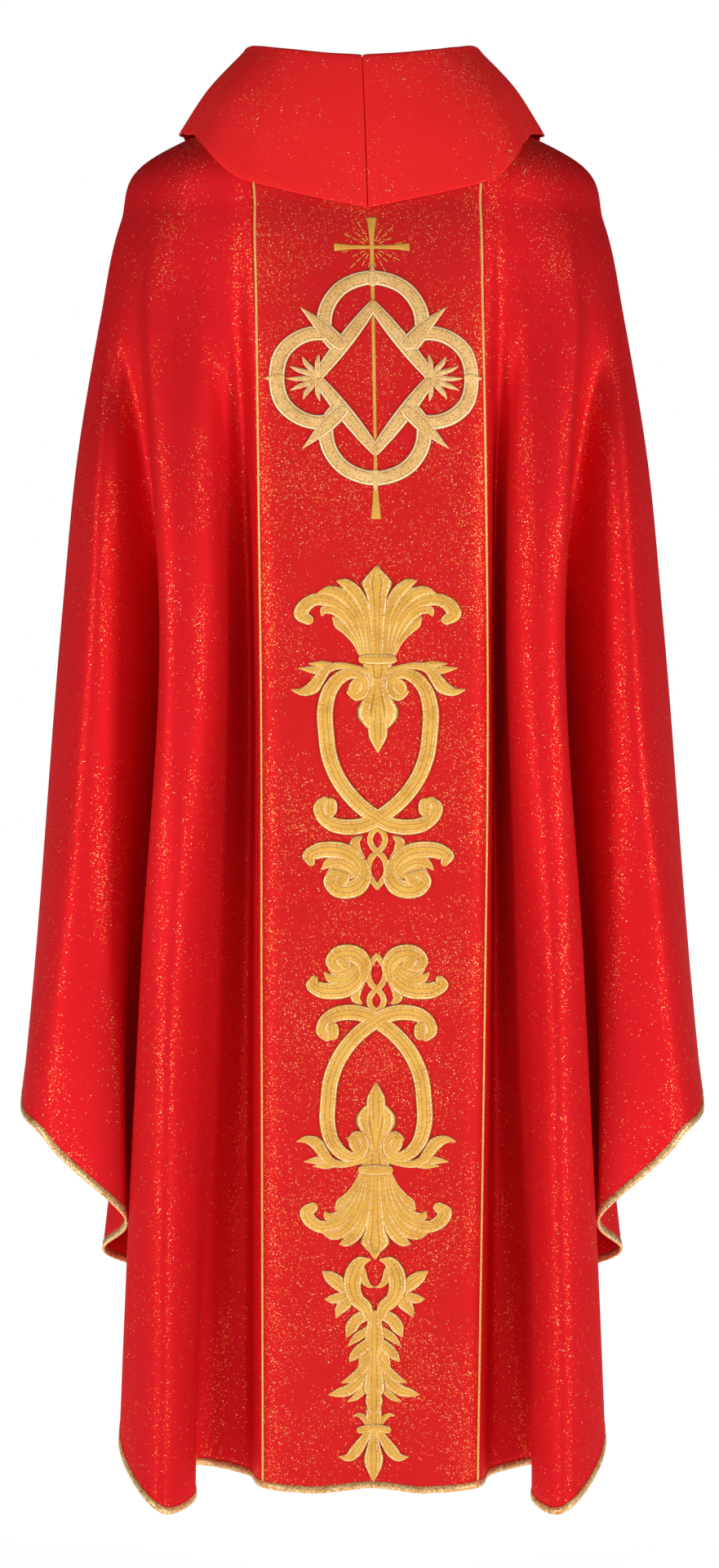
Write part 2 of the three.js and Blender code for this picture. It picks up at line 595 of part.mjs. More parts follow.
const PENDANT = {
  middle: [
    [[0, 1112, 5], [0, 1133, 9.5], [0, 1152, 6], [0, 1184, 10.5], [0, 1196, 9], [0, 1213, 7.3]],
    [[-13, 1219, 4], [13, 1219, 4]],
    [[0, 1207, 7], [0, 1235, 6.5], [0, 1246, 9.5], [0, 1262, 0]],
  ],
  mirrored: [
    [[10, 1071, 2], [14, 1075, 6], [20, 1086, 9], [16, 1103, 7], [5, 1119, 5]],
    [[22, 1098, 4], [36, 1087, 6.5], [49.5, 1077, 0]],
    [[20, 1096, 4], [35, 1102, 5], [47, 1102, 0]],
    [[18, 1096, 4], [28, 1106, 6.5], [36, 1119, 0]],
    [[6, 1114, 5], [19, 1124, 6], [26, 1136, 0]],
    [[6, 1140, 5], [17, 1150, 5.5], [23.5, 1158.5, 0]],
    [[5, 1156, 4], [17, 1171, 5], [31, 1177.5, 0]],
    [[6, 1168, 4], [20, 1181, 5.5], [43, 1188.5, 0]],
    [[5, 1219, 3], [14, 1235, 6], [33, 1244.5, 0]],
  ],
};

// The lower scroll is the upper one turned over and a little smaller.
function turnedOver(strokes) {
  const turned = ([s, depth, half]) => [0.95 * s, 1065.4 - 0.94 * (depth - 438), half];
  return strokes.map((stroke) => stroke.map(turned));
}

const LOWER_SCROLL = { middle: turnedOver(SCROLL.middle), mirrored: turnedOver(SCROLL.mirrored) };

function strokeOutline(stroke) {
  const edge = (turn) => stroke.map(([s, depth, half], i) => {
    const [fromS, fromDepth] = stroke[Math.max(i - 1, 0)];
    const [toS, toDepth] = stroke[Math.min(i + 1, stroke.length - 1)];
    const reach = (turn * half) / Math.hypot(toS - fromS, toDepth - fromDepth);
    return new THREE.Vector2(s - (toDepth - fromDepth) * reach, depth + (toS - fromS) * reach);
  });
  const pointed = stroke[stroke.length - 1][2] === 0;
  return [...edge(1), ...edge(-1).reverse().slice(pointed ? 1 : 0)];
}

function prism(outline, depth) {
  const geometry = new THREE.ExtrudeGeometry(new THREE.Shape(outline), { depth, bevelEnabled: false });
  geometry.deleteAttribute('normal');
  geometry.deleteAttribute('uv');
  const merged = mergeVertices(geometry);
  return new wasm.Manifold(new wasm.Mesh({
    numProp: 3,
    vertProperties: new Float32Array(merged.attributes.position.array),
    triVerts: new Uint32Array(merged.index.array),
  }));
}

// A point above the panel, from a motif's own s and depth.
function stitchPoint(across, s, depth, height) {
  const place = s + THREAD.centre;
  return offsetPoint(place < 0 ? -1 : 1, across(Math.abs(place)), -depth, height);
}

// The strokes are joined lying flat and then laid over the panel.
function motifGeometry(motif, across, lift) {
  const opposite = (stroke) => stroke.map(([s, depth, half]) => [-s, depth, half]);
  const mirrored = motif.mirrored.flatMap((stroke) => [stroke, opposite(stroke)]);
  const strokes = [...motif.middle, ...mirrored];
  const flat = strokes.map((stroke) => prism(strokeOutline(stroke), THREAD.thickness));
  const mesh = flat.reduce((joined, next) => joined.add(next)).getMesh();
  const vertices = [];
  for (let i = 0; i < mesh.vertProperties.length; i += mesh.numProp) {
    const [s, depth, height] = mesh.vertProperties.subarray(i, i + 3);
    vertices.push(stitchPoint(across, s, depth, lift + height));
  }
  const faces = [];
  for (let i = 0; i < mesh.triVerts.length; i += 3) faces.push([...mesh.triVerts.subarray(i, i + 3)]);
  return solidGeometry(vertices, faces);
}

function crossGeometry(across, lift) {
  const { centre, columns, rows } = CROSS;
  const place = (i, j, layer) => {
    const [depth, half] = rows[j];
    const onShaft = Math.abs(columns[i]) === 1;
    const flare = onShaft ? 1 : 1 + Math.abs(columns[i]) / 33;
    const s = onShaft ? columns[i] * half : columns[i];
    const height = layer === 0 ? lift + THREAD.thickness : lift;
    return stitchPoint(across, s, centre + (depth - centre) * flare, height);
  };
  return slabGeometry(columns.length, rows.length, place, (i, j) => i === 2 || j === 2);
}

function addEmbroidery() {
  const { lift, thickness } = THREAD;
  for (const [face, across] of FACES) {
    addPiece(`${face}_cross`, crossGeometry(across, lift), 'goldThread');
    addPiece(`${face}_medallion`, motifGeometry(MEDALLION, across, lift + thickness + GAP), 'paleThread');
    addPiece(`${face}_upper_scroll`, motifGeometry(SCROLL, across, lift), 'goldThread');
    addPiece(`${face}_lower_scroll`, motifGeometry(LOWER_SCROLL, across, lift), 'goldThread');
    addPiece(`${face}_pendant`, motifGeometry(PENDANT, across, lift), 'goldThread');
  }
}

addBodyCloth();
addPanels();
addEmbroidery();
addBindings();
addSeamTapes();
addCollar();
addHangingLoop();

export default chasuble;
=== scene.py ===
import math

import bpy
import numpy as np
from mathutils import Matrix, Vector


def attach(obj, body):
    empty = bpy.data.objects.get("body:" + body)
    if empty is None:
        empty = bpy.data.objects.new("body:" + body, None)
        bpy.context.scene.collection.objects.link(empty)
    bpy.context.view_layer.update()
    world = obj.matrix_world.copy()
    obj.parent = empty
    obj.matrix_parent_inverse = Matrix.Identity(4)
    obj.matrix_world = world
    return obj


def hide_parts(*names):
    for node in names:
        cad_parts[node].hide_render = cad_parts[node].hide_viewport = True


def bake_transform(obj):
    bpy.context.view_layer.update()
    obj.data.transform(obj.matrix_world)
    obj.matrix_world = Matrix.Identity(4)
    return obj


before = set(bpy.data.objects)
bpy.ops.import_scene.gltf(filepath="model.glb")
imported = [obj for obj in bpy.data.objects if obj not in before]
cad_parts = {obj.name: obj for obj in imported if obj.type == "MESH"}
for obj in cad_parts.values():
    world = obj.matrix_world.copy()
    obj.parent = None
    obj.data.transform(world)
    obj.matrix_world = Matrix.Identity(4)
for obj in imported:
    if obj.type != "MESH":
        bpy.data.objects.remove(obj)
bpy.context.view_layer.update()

# ---------------------------------- driving dimensions
# Lengths are in millimetres and MM turns them into Blender's metres. The sizes of the flat
# sheets, the camera and the lights are in metres. The hanging cloth is the same set of fold
# lines as in the CAD source.
MM = 0.001
CLOTH = 1.0                     # thickness of the lame cloth
SIDE_PLANE = 15                 # y of the shoulder seam
FRONT_DEPTH = 0.86              # the chest side is a little shallower than the back
PANEL_HALF = 100                # half the width of the orphrey panel
SEAM_U = 720                    # the shoulder seam, across the flat cloth
SEAM_FLAT = 90                  # how far from the seam the cloth takes up its loose folds
HALF_ROUND = 2 * SEAM_U         # the front centre
PIPING_RADIUS = 1.3
BINDING_HEIGHT = 6.5
BINDING_REACH = 1.5             # half the thickness of the folded binding
NECK_TOP = -1.5
CLOTH_HEM = 2.0                 # how far above the hem's lower edge the cloth ends, in the binding
INTERLINING_HEM = 9.0

# A fold line is (u, z of the hem, knots), where u is its distance from the back centre across
# the flat cloth and each knot is (z, x, y) on the left half of the back.
LINES = [
    (0, -1273, [(0, 0, -75), (-54, 0, -106), (-110, 0, -124), (-200, 0, -138),
                (-330, 0, -147), (-640, 0, -153), (-1290, 0, -158)]),
    (50, -1278, [(0, -38, -68), (-54, -52, -105), (-110, -52, -123), (-200, -52, -137),
                 (-330, -52, -146), (-640, -50, -152), (-1290, -48, -156)]),
    (100, -1275, [(0, -62, -53), (-54, -100, -100), (-110, -103, -116), (-200, -103, -129),
                  (-330, -103, -138), (-640, -102, -143), (-1290, -97, -143)]),
    (145, -1270, [(0, -68, -47), (-54, -117, -95), (-110, -121, -109), (-200, -120, -118),
                  (-330, -114, -108), (-480, -111, -86), (-800, -112, -84), (-1290, -112, -98)]),
    (200, -1261, [(0, -72, -42), (-54, -133, -90), (-110, -139, -105), (-200, -138, -116),
                  (-330, -127, -116), (-480, -124, -107), (-800, -133, -111), (-1290, -163, -112)]),
    (240, -1284, [(0, -76, -37), (-54, -145, -85), (-110, -152, -101), (-200, -153, -117),
                  (-330, -140, -134), (-480, -134, -146), (-800, -151, -152), (-1290, -153, -152)]),
    (285, -1290, [(0, -80, -31), (-54, -157, -77), (-110, -167, -95), (-200, -172, -115),
                  (-330, -164, -142), (-480, -157, -159), (-800, -173, -172), (-1290, -182, -190)]),
    (335, -1242, [(0, -83, -25), (-54, -170, -66), (-110, -182, -86), (-200, -193, -108),
                  (-330, -188, -136), (-480, -181, -151), (-800, -199, -152), (-1100, -214, -144),
                  (-1290, -222, -136)]),
    (420, -1095, [(0, -85, -19), (-54, -180, -55), (-110, -197, -72), (-200, -207, -90),
                  (-330, -194, -90), (-480, -185, -62), (-800, -190, -58), (-1290, -190, -62)]),
    (465, -1064, [(0, -86, -14), (-54, -188, -44), (-110, -208, -58), (-200, -218, -79),
                  (-330, -206, -85), (-480, -199, -79), (-800, -211, -82), (-1100, -242, -96)]),
    (500, -1035, [(0, -87, -8), (-54, -194, -31), (-110, -216, -44), (-200, -227, -68),
                  (-330, -219, -97), (-480, -212, -102), (-800, -219, -118), (-1100, -213, -140)]),
    (555, -966, [(0, -88, -2), (-54, -199, -17), (-110, -222, -28), (-200, -238, -50),
                  (-330, -241, -102), (-480, -244, -124), (-800, -268, -132), (-1050, -296, -112)]),
    (650, -895, [(0, -88, 6), (-54, -203, 0), (-110, -226, -6), (-200, -244, -14),
                 (-330, -265, -30), (-480, -279, -40), (-800, -303, -48), (-1050, -324, -50)]),
    (720, -690, [(0, -88, 15), (-28, -158, 15), (-54, -203, 15), (-70, -214, 15),
                 (-110, -225, 15), (-200, -240, 15), (-330, -255, 15), (-480, -266, 15),
                 (-800, -280, 15)]),
]
SWAY = [(0, 3), (-370, 9), (-590, 11), (-810, 10), (-1300, 7)]      # (z, x) of the panel's middle
SWAY_FADE = 185                 # how far past the panel its sway dies away
PANEL_CREASES = [(-540, 0.5), (-742, 0.6), (-905, -0.5), (-1062, 1.6), (-1180, 0.4)]    # (z, depth)
CREASE_HEIGHT = 3.2
LOOSE_FROM, LOOSE_OVER = 90, 350    # below the neck, where the cloth starts to hang loose
PUCKER_DEPTH, PUCKER_HEIGHT = 1.1, 16


# ---------------------------------- smooth curves
def slopes(xs, ys):
    """Tangents of a smooth curve through ys at xs; the first axis of ys runs along xs."""
    shape = (-1,) + (1,) * (ys.ndim - 1)
    steps = np.diff(xs).reshape(shape)
    rates = np.diff(ys, axis=0) / steps
    inner = (rates[:-1] * steps[1:] + rates[1:] * steps[:-1]) / (steps[:-1] + steps[1:])
    return np.concatenate([rates[:1], inner, rates[-1:]])


def smooth(xs, ys, x, own=False):
    """The curve through (xs, ys) at each x. With own, each x has its own column of ys."""
    xs, ys, x = np.asarray(xs, float), np.asarray(ys, float), np.asarray(x, float)
    x = np.clip(x, xs[0], xs[-1])
    i = np.clip(np.searchsorted(xs, x, side="right") - 1, 0, len(xs) - 2)
    m = slopes(xs, ys)
    h = xs[i + 1] - xs[i]
    t = (x - xs[i]) / h
    columns = (np.arange(len(x)),) if own else ()
    y0, y1 = ys[(i, *columns)], ys[(i + 1, *columns)]
    m0, m1 = m[(i, *columns)], m[(i + 1, *columns)]
    tail = (slice(None),) + (None,) * (y0.ndim - 1)
    h, t = h[tail], t[tail]
    s = 1 - t
    return (y0 * (1 + 2 * t) * s * s + y1 * (3 - 2 * t) * t * t
            + h * m0 * t * s * s - h * m1 * t * t * s)


def table_curve(rows, x):
    """A smooth curve through rows of (x, value, ...), in any order."""
    table = np.array(sorted(rows), float)
    return smooth(table[:, 0], table[:, 1:], x)


# ---------------------------------- the hanging cloth
def line_values(z):
    """x and y of every fold line at each z, back centre to front centre, and one past each end."""
    back = [table_curve(knots, z) for _, _, knots in LINES]
    front = [np.stack([p[:, 0], SIDE_PLANE - FRONT_DEPTH * (p[:, 1] - SIDE_PLANE)], 1)
             for p in reversed(back[:-1])]
    half = back + front
    flip = np.array([-1.0, 1.0])
    return np.stack([half[1] * flip] + half + [half[-2] * flip])


BACK_U = [line[0] for line in LINES]
HALF_U = BACK_U + [HALF_ROUND - u for u in reversed(BACK_U[:-1])]
LINE_U = np.array([-HALF_U[1]] + HALF_U + [2 * HALF_ROUND - HALF_U[-2]], float)
BACK_HEM = [line[1] for line in LINES]
HALF_HEM = BACK_HEM + BACK_HEM[-2::-1]
LINE_HEM = np.array([HALF_HEM[1]] + HALF_HEM + [HALF_HEM[-2]], float)
TABLE_Z = np.arange(-1320.0, 90.0)      # the lines are looked up at every millimetre
LINE_TABLE = line_values(TABLE_Z)


def hem_at(u):
    return smooth(LINE_U, LINE_HEM, u)


def sway_share(u):
    """1 on the panel, and less away from it until the cloth hangs straight."""
    from_centre = np.minimum(np.abs(u), HALF_ROUND - np.abs(u))
    t = np.clip((from_centre - PANEL_HALF) / SWAY_FADE, 0, 1)
    return 1 - t * t * (3 - 2 * t)


def slack(side, u, z):
    """How far the cloth stands in or out where it hangs loose, and how its hem puckers."""
    s = side * u
    loose = np.clip((-z - LOOSE_FROM) / LOOSE_OVER, 0, 1) * (1 - 0.75 * sway_share(u))
    waves = (1.0 * np.sin(s / 26 + z / 310 + 0.4) * np.sin(z / 173 + 1.7)
             + 0.7 * np.sin(s / 15 - z / 235) * np.sin(z / 97 + 0.6 * side)
             + 0.4 * np.sin(s / 9 + z / 83) * np.sin(z / 61 + s / 140))
    near_hem = np.exp(-np.abs(z - hem_at(u)) / PUCKER_HEIGHT)
    pucker = PUCKER_DEPTH * np.sin(s / 6.4 + 0.8) * np.sin(s / 23.0) * near_hem
    creases = sum(depth * np.exp(-((z - place) / CREASE_HEIGHT) ** 2) for place, depth in PANEL_CREASES)
    return loose * waves + pucker + creases * sway_share(u) * np.sin(s / 34 + 1.0)


def cloth(side, u, z):
    """Points of the cloth's middle surface. side is -1 on the left half and +1 on the right."""
    u, z = np.broadcast_arrays(np.asarray(u, float), np.asarray(z, float))
    flat_u, flat_z = u.ravel(), z.ravel()
    step = np.clip(flat_z - TABLE_Z[0], 0, len(TABLE_Z) - 1.001)
    i = step.astype(int)
    part = (step - i)[:, None]
    lines = LINE_TABLE[:, i] * (1 - part) + LINE_TABLE[:, i + 1] * part
    xy = smooth(LINE_U, lines, flat_u, own=True)
    x = -side * xy[:, 0] + table_curve(SWAY, flat_z)[:, 0] * sway_share(flat_u)
    outward = np.where(flat_u > SEAM_U, 1.0, -1.0)
    fullness = np.clip(np.abs(flat_u - SEAM_U) / SEAM_FLAT, 0, 1)
    y = xy[:, 1] + outward * fullness * slack(side, flat_u, flat_z)
    return np.stack([x, y, flat_z], 1).reshape(u.shape + (3,))


def unit(v):
    return v / np.maximum(np.linalg.norm(v, axis=-1, keepdims=True), 1e-9)


def cloth_frame(side, u, z):
    """Points, outward normals and directions across the cloth."""
    across = cloth(side, u + 0.5, z) - cloth(side, u - 0.5, z)
    down = cloth(side, u, z - 0.5) - cloth(side, u, z + 0.5)
    return cloth(side, u, z), unit(np.cross(across, down) * -side), across


def panel_frame(across, s, z):
    """Points and normals of the orphrey panel at s across it and height z."""
    s, z = np.broadcast_arrays(s, z)
    u = across(np.abs(s))
    left, right = cloth_frame(-1, u, z), cloth_frame(1, u, z)
    on_left = (s < 0)[..., None]
    return np.where(on_left, left[0], right[0]), np.where(on_left, left[1], right[1])


def hem_rise(u):
    """How far up a column one millimetre measured squarely from the hem's edge reaches."""
    run = np.linalg.norm(cloth(1, u + 1, hem_at(u)) - cloth(1, u - 1, hem_at(u)), axis=-1)
    return np.hypot(1, (hem_at(u + 1) - hem_at(u - 1)) / run)


def above_hem(u, distance):
    """Heights of the places that lie a distance above the hem, measured squarely from it."""
    return hem_at(u) + distance * hem_rise(u)


# ---------------------------------- building meshes
def make_object(name, vertices, faces, **uv_layers):
    """A mesh object from vertices in millimetres; each UV layer has one row for each vertex."""
    mesh = bpy.data.meshes.new(name)
    mesh.from_pydata((np.asarray(vertices) * MM).tolist(), [], faces)
    mesh.update()
    index = np.empty(len(mesh.loops), int)
    mesh.loops.foreach_get("vertex_index", index)
    for layer_name, uvs in uv_layers.items():
        layer = mesh.uv_layers.new(name=layer_name)
        layer.data.foreach_set("uv", np.asarray(uvs)[index].ravel())
    mesh.shade_smooth()
    piece = bpy.data.objects.new(name, mesh)
    bpy.context.scene.collection.objects.link(piece)
    return piece


def slab(name, outer, inner, flat):
    """A closed sheet from two grids of points, with the flat cloth's coordinates as its UVs."""
    rows, columns = outer.shape[:2]
    count = rows * columns
    ids = np.arange(count).reshape(rows, columns)
    a, b = ids[:-1, :-1].ravel(), ids[:-1, 1:].ravel()
    c, d = ids[1:, 1:].ravel(), ids[1:, :-1].ravel()
    quads = np.concatenate([np.stack([a, d, c, b], 1), np.stack([a, b, c, d], 1) + count])
    edge = np.concatenate([ids[0, :], ids[1:, -1], ids[-1, -2::-1], ids[-2:0:-1, 0]])
    after = np.roll(edge, -1)
    walls = np.stack([edge, after, after + count, edge + count], 1)
    vertices = np.concatenate([outer.reshape(-1, 3), inner.reshape(-1, 3)])
    faces = np.concatenate([quads, walls])
    if signed_volume(vertices, faces) < 0:
        faces = faces[:, ::-1]
    uvs = np.concatenate([flat.reshape(-1, 2)] * 2) * MM
    return make_object(name, vertices, faces.tolist(), flat=uvs)


def signed_volume(vertices, quads):
    """Six times the volume inside the quads, below zero where they face inwards."""
    p = vertices[quads]
    total = np.einsum("ij,ij->i", p[:, 0], np.cross(p[:, 1], p[:, 2])).sum()
    return total + np.einsum("ij,ij->i", p[:, 0], np.cross(p[:, 2], p[:, 3])).sum()


def tube_mesh(rings):
    """Vertices and faces of a closed tube through rings of points, its ends capped."""
    steps, size = rings.shape[:2]
    ids = np.arange(steps * size).reshape(steps, size)
    nxt = np.roll(ids, -1, axis=1)
    quads = np.stack([ids[:-1].ravel(), nxt[:-1].ravel(), nxt[1:].ravel(), ids[1:].ravel()], 1)
    vertices = rings.reshape(-1, 3)
    faces = quads.tolist() + [ids[0, ::-1].tolist(), ids[-1].tolist()]
    if signed_volume(vertices, quads) < 0:
        faces = [face[::-1] for face in faces]
    return vertices, faces


def joined_tubes(name, tubes):
    """One object from several tubes, each a pair of its rings and a dict of its UV layers."""
    vertices, faces, layers, count = [], [], {}, 0
    for rings, uvs in tubes:
        points, own = tube_mesh(rings)
        vertices.append(points)
        faces += [[i + count for i in face] for face in own]
        count += len(points)
        for key, values in uvs.items():
            layers.setdefault(key, []).append(values.reshape(-1, 2))
    return make_object(name, np.concatenate(vertices), faces,
                       **{key: np.concatenate(parts) for key, parts in layers.items()})


def tube(name, rings, flat):
    return joined_tubes(name, [(rings, {"flat": flat * MM})])


# ---------------------------------- material helpers
class Nodes:
    """A material's node tree, with short calls for the nodes this scene uses."""

    def __init__(self, name):
        self.material = bpy.data.materials.new(name)
        self.material.use_nodes = True
        self.tree = self.material.node_tree
        self.shader = self.tree.nodes["Principled BSDF"]

    def add(self, kind, inputs=None, **settings):
        node = self.tree.nodes.new(kind)
        for key, value in settings.items():
            setattr(node, key, value)
        for key, value in (inputs or {}).items():
            self.put(node.inputs[key], value)
        return node

    def put(self, socket, value):
        if isinstance(value, bpy.types.NodeSocket):
            self.tree.links.new(value, socket)
        else:
            socket.default_value = value

    def math(self, operation, a, b=0.0, clamp=False):
        node = self.add("ShaderNodeMath", {0: a, 1: b}, operation=operation, use_clamp=clamp)
        return node.outputs[0]

    def mix(self, factor, a, b):
        """A mix of two colours; a Mix node's colour sockets are inputs 6 and 7 and output 2."""
        node = self.add("ShaderNodeMix", data_type="RGBA")
        self.put(node.inputs[0], factor)
        self.put(node.inputs[6], a)
        self.put(node.inputs[7], b)
        return node.outputs[2]

    def ramp(self, value, stops):
        node = self.add("ShaderNodeValToRGB", {0: value})
        elements = node.color_ramp.elements
        while len(elements) < len(stops):
            elements.new(0.5)
        for element, (place, colour) in zip(elements, stops):
            element.position = place
            element.color = colour if len(colour) == 4 else (*colour, 1)
        return node.outputs[0]

    def place(self):
        return self.add("ShaderNodeTexCoord").outputs["Object"]

    def uv(self, layer):
        return self.add("ShaderNodeUVMap", uv_map=layer).outputs[0]

    def noise(self, vector, scale, detail=2.0):
        inputs = {"Vector": vector, "Scale": scale, "Detail": detail}
        return self.add("ShaderNodeTexNoise", inputs).outputs[0]

    def bump(self, height, strength, distance, **more):
        inputs = {"Height": height, "Strength": strength, "Distance": distance, **more}
        return self.add("ShaderNodeBump", inputs).outputs[0]

    def scaled(self, vector, scale):
        return self.add("ShaderNodeMapping", {"Vector": vector, "Scale": scale}).outputs[0]

    def set(self, **values):
        for key, value in values.items():
            self.put(self.shader.inputs[key.replace("_", " ")], value)


def grey(value):
    return (value, value, value, 1)


# ---------------------------------- materials
def lame(name, deep, bright, sparkle, plain_share, metal=0.5):
    """Red cloth with a gold yarn: a fine weave, a faint red gloss, and bright gold specks, partly
    the yarn itself and partly painted glints, which gather as a painted glint band where the
    cloth's normal turns part way to a side (x from 0.2 to 0.62), towards the side lamps.
    plain_share is how many of them are left outside that band, on cloth that faces straight to
    the front, the back or a side."""
    n = Nodes(name)
    place, flat = n.place(), n.uv("flat")
    tone = n.mix(n.noise(place, 7.0, 5.0), (*deep, 1), (*bright, 1))
    specks = n.add("ShaderNodeTexVoronoi", {"Vector": place, "Scale": 1350.0})
    dice = n.add("ShaderNodeSeparateColor", {0: specks.outputs["Color"]})
    facing = n.add("ShaderNodeSeparateXYZ", {0: n.add("ShaderNodeNewGeometry").outputs["Normal"]})
    turned = n.math("ABSOLUTE", facing.outputs[0])
    plain = grey(plain_share)
    # painted glint: more gold specks where the cloth's normal turns part way (x 0.2 to 0.62) towards the
    # side lamps
    painted_glint = n.ramp(turned, [(0.0, plain), (0.20, plain), (0.38, grey(1.0)), (0.62, plain),
                               (1.0, plain)])
    drift = n.math("SUBTRACT", n.noise(place, 13.0, 4.0), 0.34, clamp=True)
    amount = n.math("MULTIPLY", drift, 2.4 * sparkle)
    speck = n.math("LESS_THAN", dice.outputs[0], n.math("MULTIPLY", amount, painted_glint))
    # the specks' colours: the yarn's gold, brightened towards pale gold as painted glints
    gold = n.ramp(dice.outputs[1], [(0.0, (0.88, 0.10, 0.03)), (0.5, (0.95, 0.24, 0.06)),
                                    (0.85, (1.0, 0.46, 0.14)), (1.0, (1.0, 0.80, 0.42))])
    colour = n.mix(speck, tone, gold)
    threads = {"Vector": flat, "Scale": 330.0}
    warp = n.add("ShaderNodeTexWave", threads, bands_direction="X").outputs[0]
    threads = {"Vector": flat, "Scale": 260.0}
    weft = n.add("ShaderNodeTexWave", threads, bands_direction="Y").outputs[0]
    weave = n.bump(n.math("ADD", warp, weft), 0.10, 0.0004)
    crumple = n.bump(n.noise(place, 55.0), 0.13, 0.004, Normal=weave)
    roughness = n.math("SUBTRACT", 0.56, n.math("MULTIPLY", speck, 0.14))
    n.set(Base_Color=colour, Metallic=metal, Roughness=roughness, Specular_IOR_Level=0.16,
          Specular_Tint=(1.0, 0.30, 0.26, 1.0), Normal=crumple)
    return n.material


def thread_material(name, dark, middle, light, lines, speckled=0.0):
    """Satin stitches lying across each stroke, whose UV holds the place across it, -1 to 1.
    A line is (place across, half width, strength, threshold, colour), and a higher threshold
    breaks it up more. The SILVERY lines are pale stitching; the SHADE lines are painted shade
    along the edges of each stroke and down inside it."""
    n = Nodes(name)
    place, flat = n.place(), n.uv("flat")
    across = n.math("ABSOLUTE", n.add("ShaderNodeSeparateXYZ", {0: n.uv("stroke")}).outputs[0])
    # the tone runs from dark brown to a highlight gold over stitch-long streaks and wider patches: partly
    # the threads' own tone and partly painted sheen
    strands = n.noise(n.scaled(flat, (2600, 160, 1)), 1.0)
    shade = n.noise(place, 60.0, 3.0)
    tone = n.math("ADD", n.math("MULTIPLY", strands, 0.65), n.math("MULTIPLY", shade, 0.35))
    colour = n.ramp(tone, [(0.30, dark), (0.50, middle), (0.72, light)])
    broken = n.noise(place, 620.0, 1.0)
    # each line colours a band across the stroke: the SHADE ones are painted shade, the SILVERY ones pale
    # stitching
    for centre, width, strength, threshold, line in lines:
        near = n.math("LESS_THAN", n.math("ABSOLUTE", n.math("SUBTRACT", across, centre)), width)
        kept = n.math("GREATER_THAN", broken, threshold)
        drawn = n.math("MULTIPLY", n.math("MULTIPLY", near, kept), strength)
        colour = n.mix(drawn, colour, (*line, 1))
    if speckled:
        grid = {"Vector": n.scaled(flat, (420, 700, 1)), "Scale": 1.0}
        stitches = n.add("ShaderNodeTexVoronoi", grid).outputs["Distance"]
        hole = n.math("LESS_THAN", stitches, 0.30)
        inside = n.math("LESS_THAN", across, 0.78)
        drawn = n.math("MULTIPLY", n.math("MULTIPLY", hole, inside), speckled)
        colour = n.mix(drawn, colour, (0.36, 0.17, 0.03, 1))
    n.set(Base_Color=colour, Metallic=0.35, Roughness=0.45, Normal=n.bump(strands, 0.45, 0.0005))
    return n.material


def gold_cord_material():
    n = Nodes("gold_cord")
    fibre = n.noise(n.scaled(n.uv("flat"), (900, 900, 1)), 1.0)
    colour = n.ramp(fibre, [(0.3, (0.50, 0.22, 0.04)), (0.5, (0.82, 0.46, 0.11)),
                            (0.7, (1.0, 0.72, 0.28))])
    n.set(Base_Color=colour, Metallic=0.4, Roughness=0.42, Normal=n.bump(fibre, 0.4, 0.0003))
    return n.material


def binding_material():
    n = Nodes("gold_binding")
    grains = n.add("ShaderNodeTexVoronoi", {"Vector": n.place(), "Scale": 900.0})
    dice = n.add("ShaderNodeSeparateColor", {0: grains.outputs["Color"]})
    colour = n.ramp(dice.outputs[0], [(0.0, (0.50, 0.18, 0.05)), (0.35, (0.80, 0.42, 0.13)),
                                      (0.75, (0.95, 0.62, 0.27)), (1.0, (1.0, 0.88, 0.60))])
    bump = n.bump(dice.outputs[1], 0.5, 0.0004)
    n.set(Base_Color=colour, Metallic=0.5, Roughness=0.4, Normal=bump)
    return n.material


def interlining_material():
    n = Nodes("interlining")
    slub = n.noise(n.scaled(n.uv("flat"), (900, 60, 1)), 1.0)
    colour = n.ramp(slub, [(0.3, (0.42, 0.34, 0.24)), (0.7, (0.62, 0.54, 0.40))])
    n.set(Base_Color=colour, Roughness=0.9, Normal=n.bump(slub, 0.3, 0.0004))
    return n.material


LAME = lame("red_lame", (0.67, 0.011, 0.016), (0.77, 0.015, 0.021), 0.17, 0.12)
PANEL = lame("orphrey_lame", (0.63, 0.015, 0.016), (0.73, 0.020, 0.021), 0.24, 0.60)
# painted light: the collar's red lame is a copy of the body's with its colour lifted about a quarter
# brighter, to brighten the collar
COLLAR = lame("collar_lame", (0.90, 0.021, 0.022), (0.98, 0.027, 0.028), 0.10, 0.30, metal=0.25)
CORD = gold_cord_material()
BINDING = binding_material()
INTERLINING = interlining_material()
SILVERY = (1.0, 0.84, 0.60)
# painted shade: the dark brown of the lines drawn along the edges of each stroke and down inside it
SHADE = (0.26, 0.09, 0.01)
GOLD_THREAD = thread_material("gold_thread", (0.50, 0.21, 0.02), (0.84, 0.43, 0.06), (1.0, 0.64, 0.15),
                              [(0.98, 0.07, 0.85, 0.0, SHADE), (0.80, 0.07, 0.8, 0.48, SILVERY),
                               (0.42, 0.05, 0.6, 0.55, SILVERY), (0.30, 0.05, 0.5, 0.0, SHADE)])
FLAT_THREAD = thread_material("flat_gold_thread", (0.50, 0.21, 0.02), (0.78, 0.38, 0.05),
                              (0.94, 0.56, 0.11), [(1.0, 0.2, 0.6, 0.0, SHADE)])
PALE_THREAD = thread_material("pale_thread", (0.62, 0.31, 0.08), (0.90, 0.54, 0.19), (1.0, 0.76, 0.38),
                              [(0.98, 0.07, 0.9, 0.0, SHADE), (0.84, 0.07, 0.7, 0.35, SILVERY),
                               (0.60, 0.04, 0.6, 0.0, SHADE)],
                              speckled=0.8)


def finish_piece(piece, material):
    piece.data.materials.append(material)


def follow_arm(piece):
    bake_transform(piece)


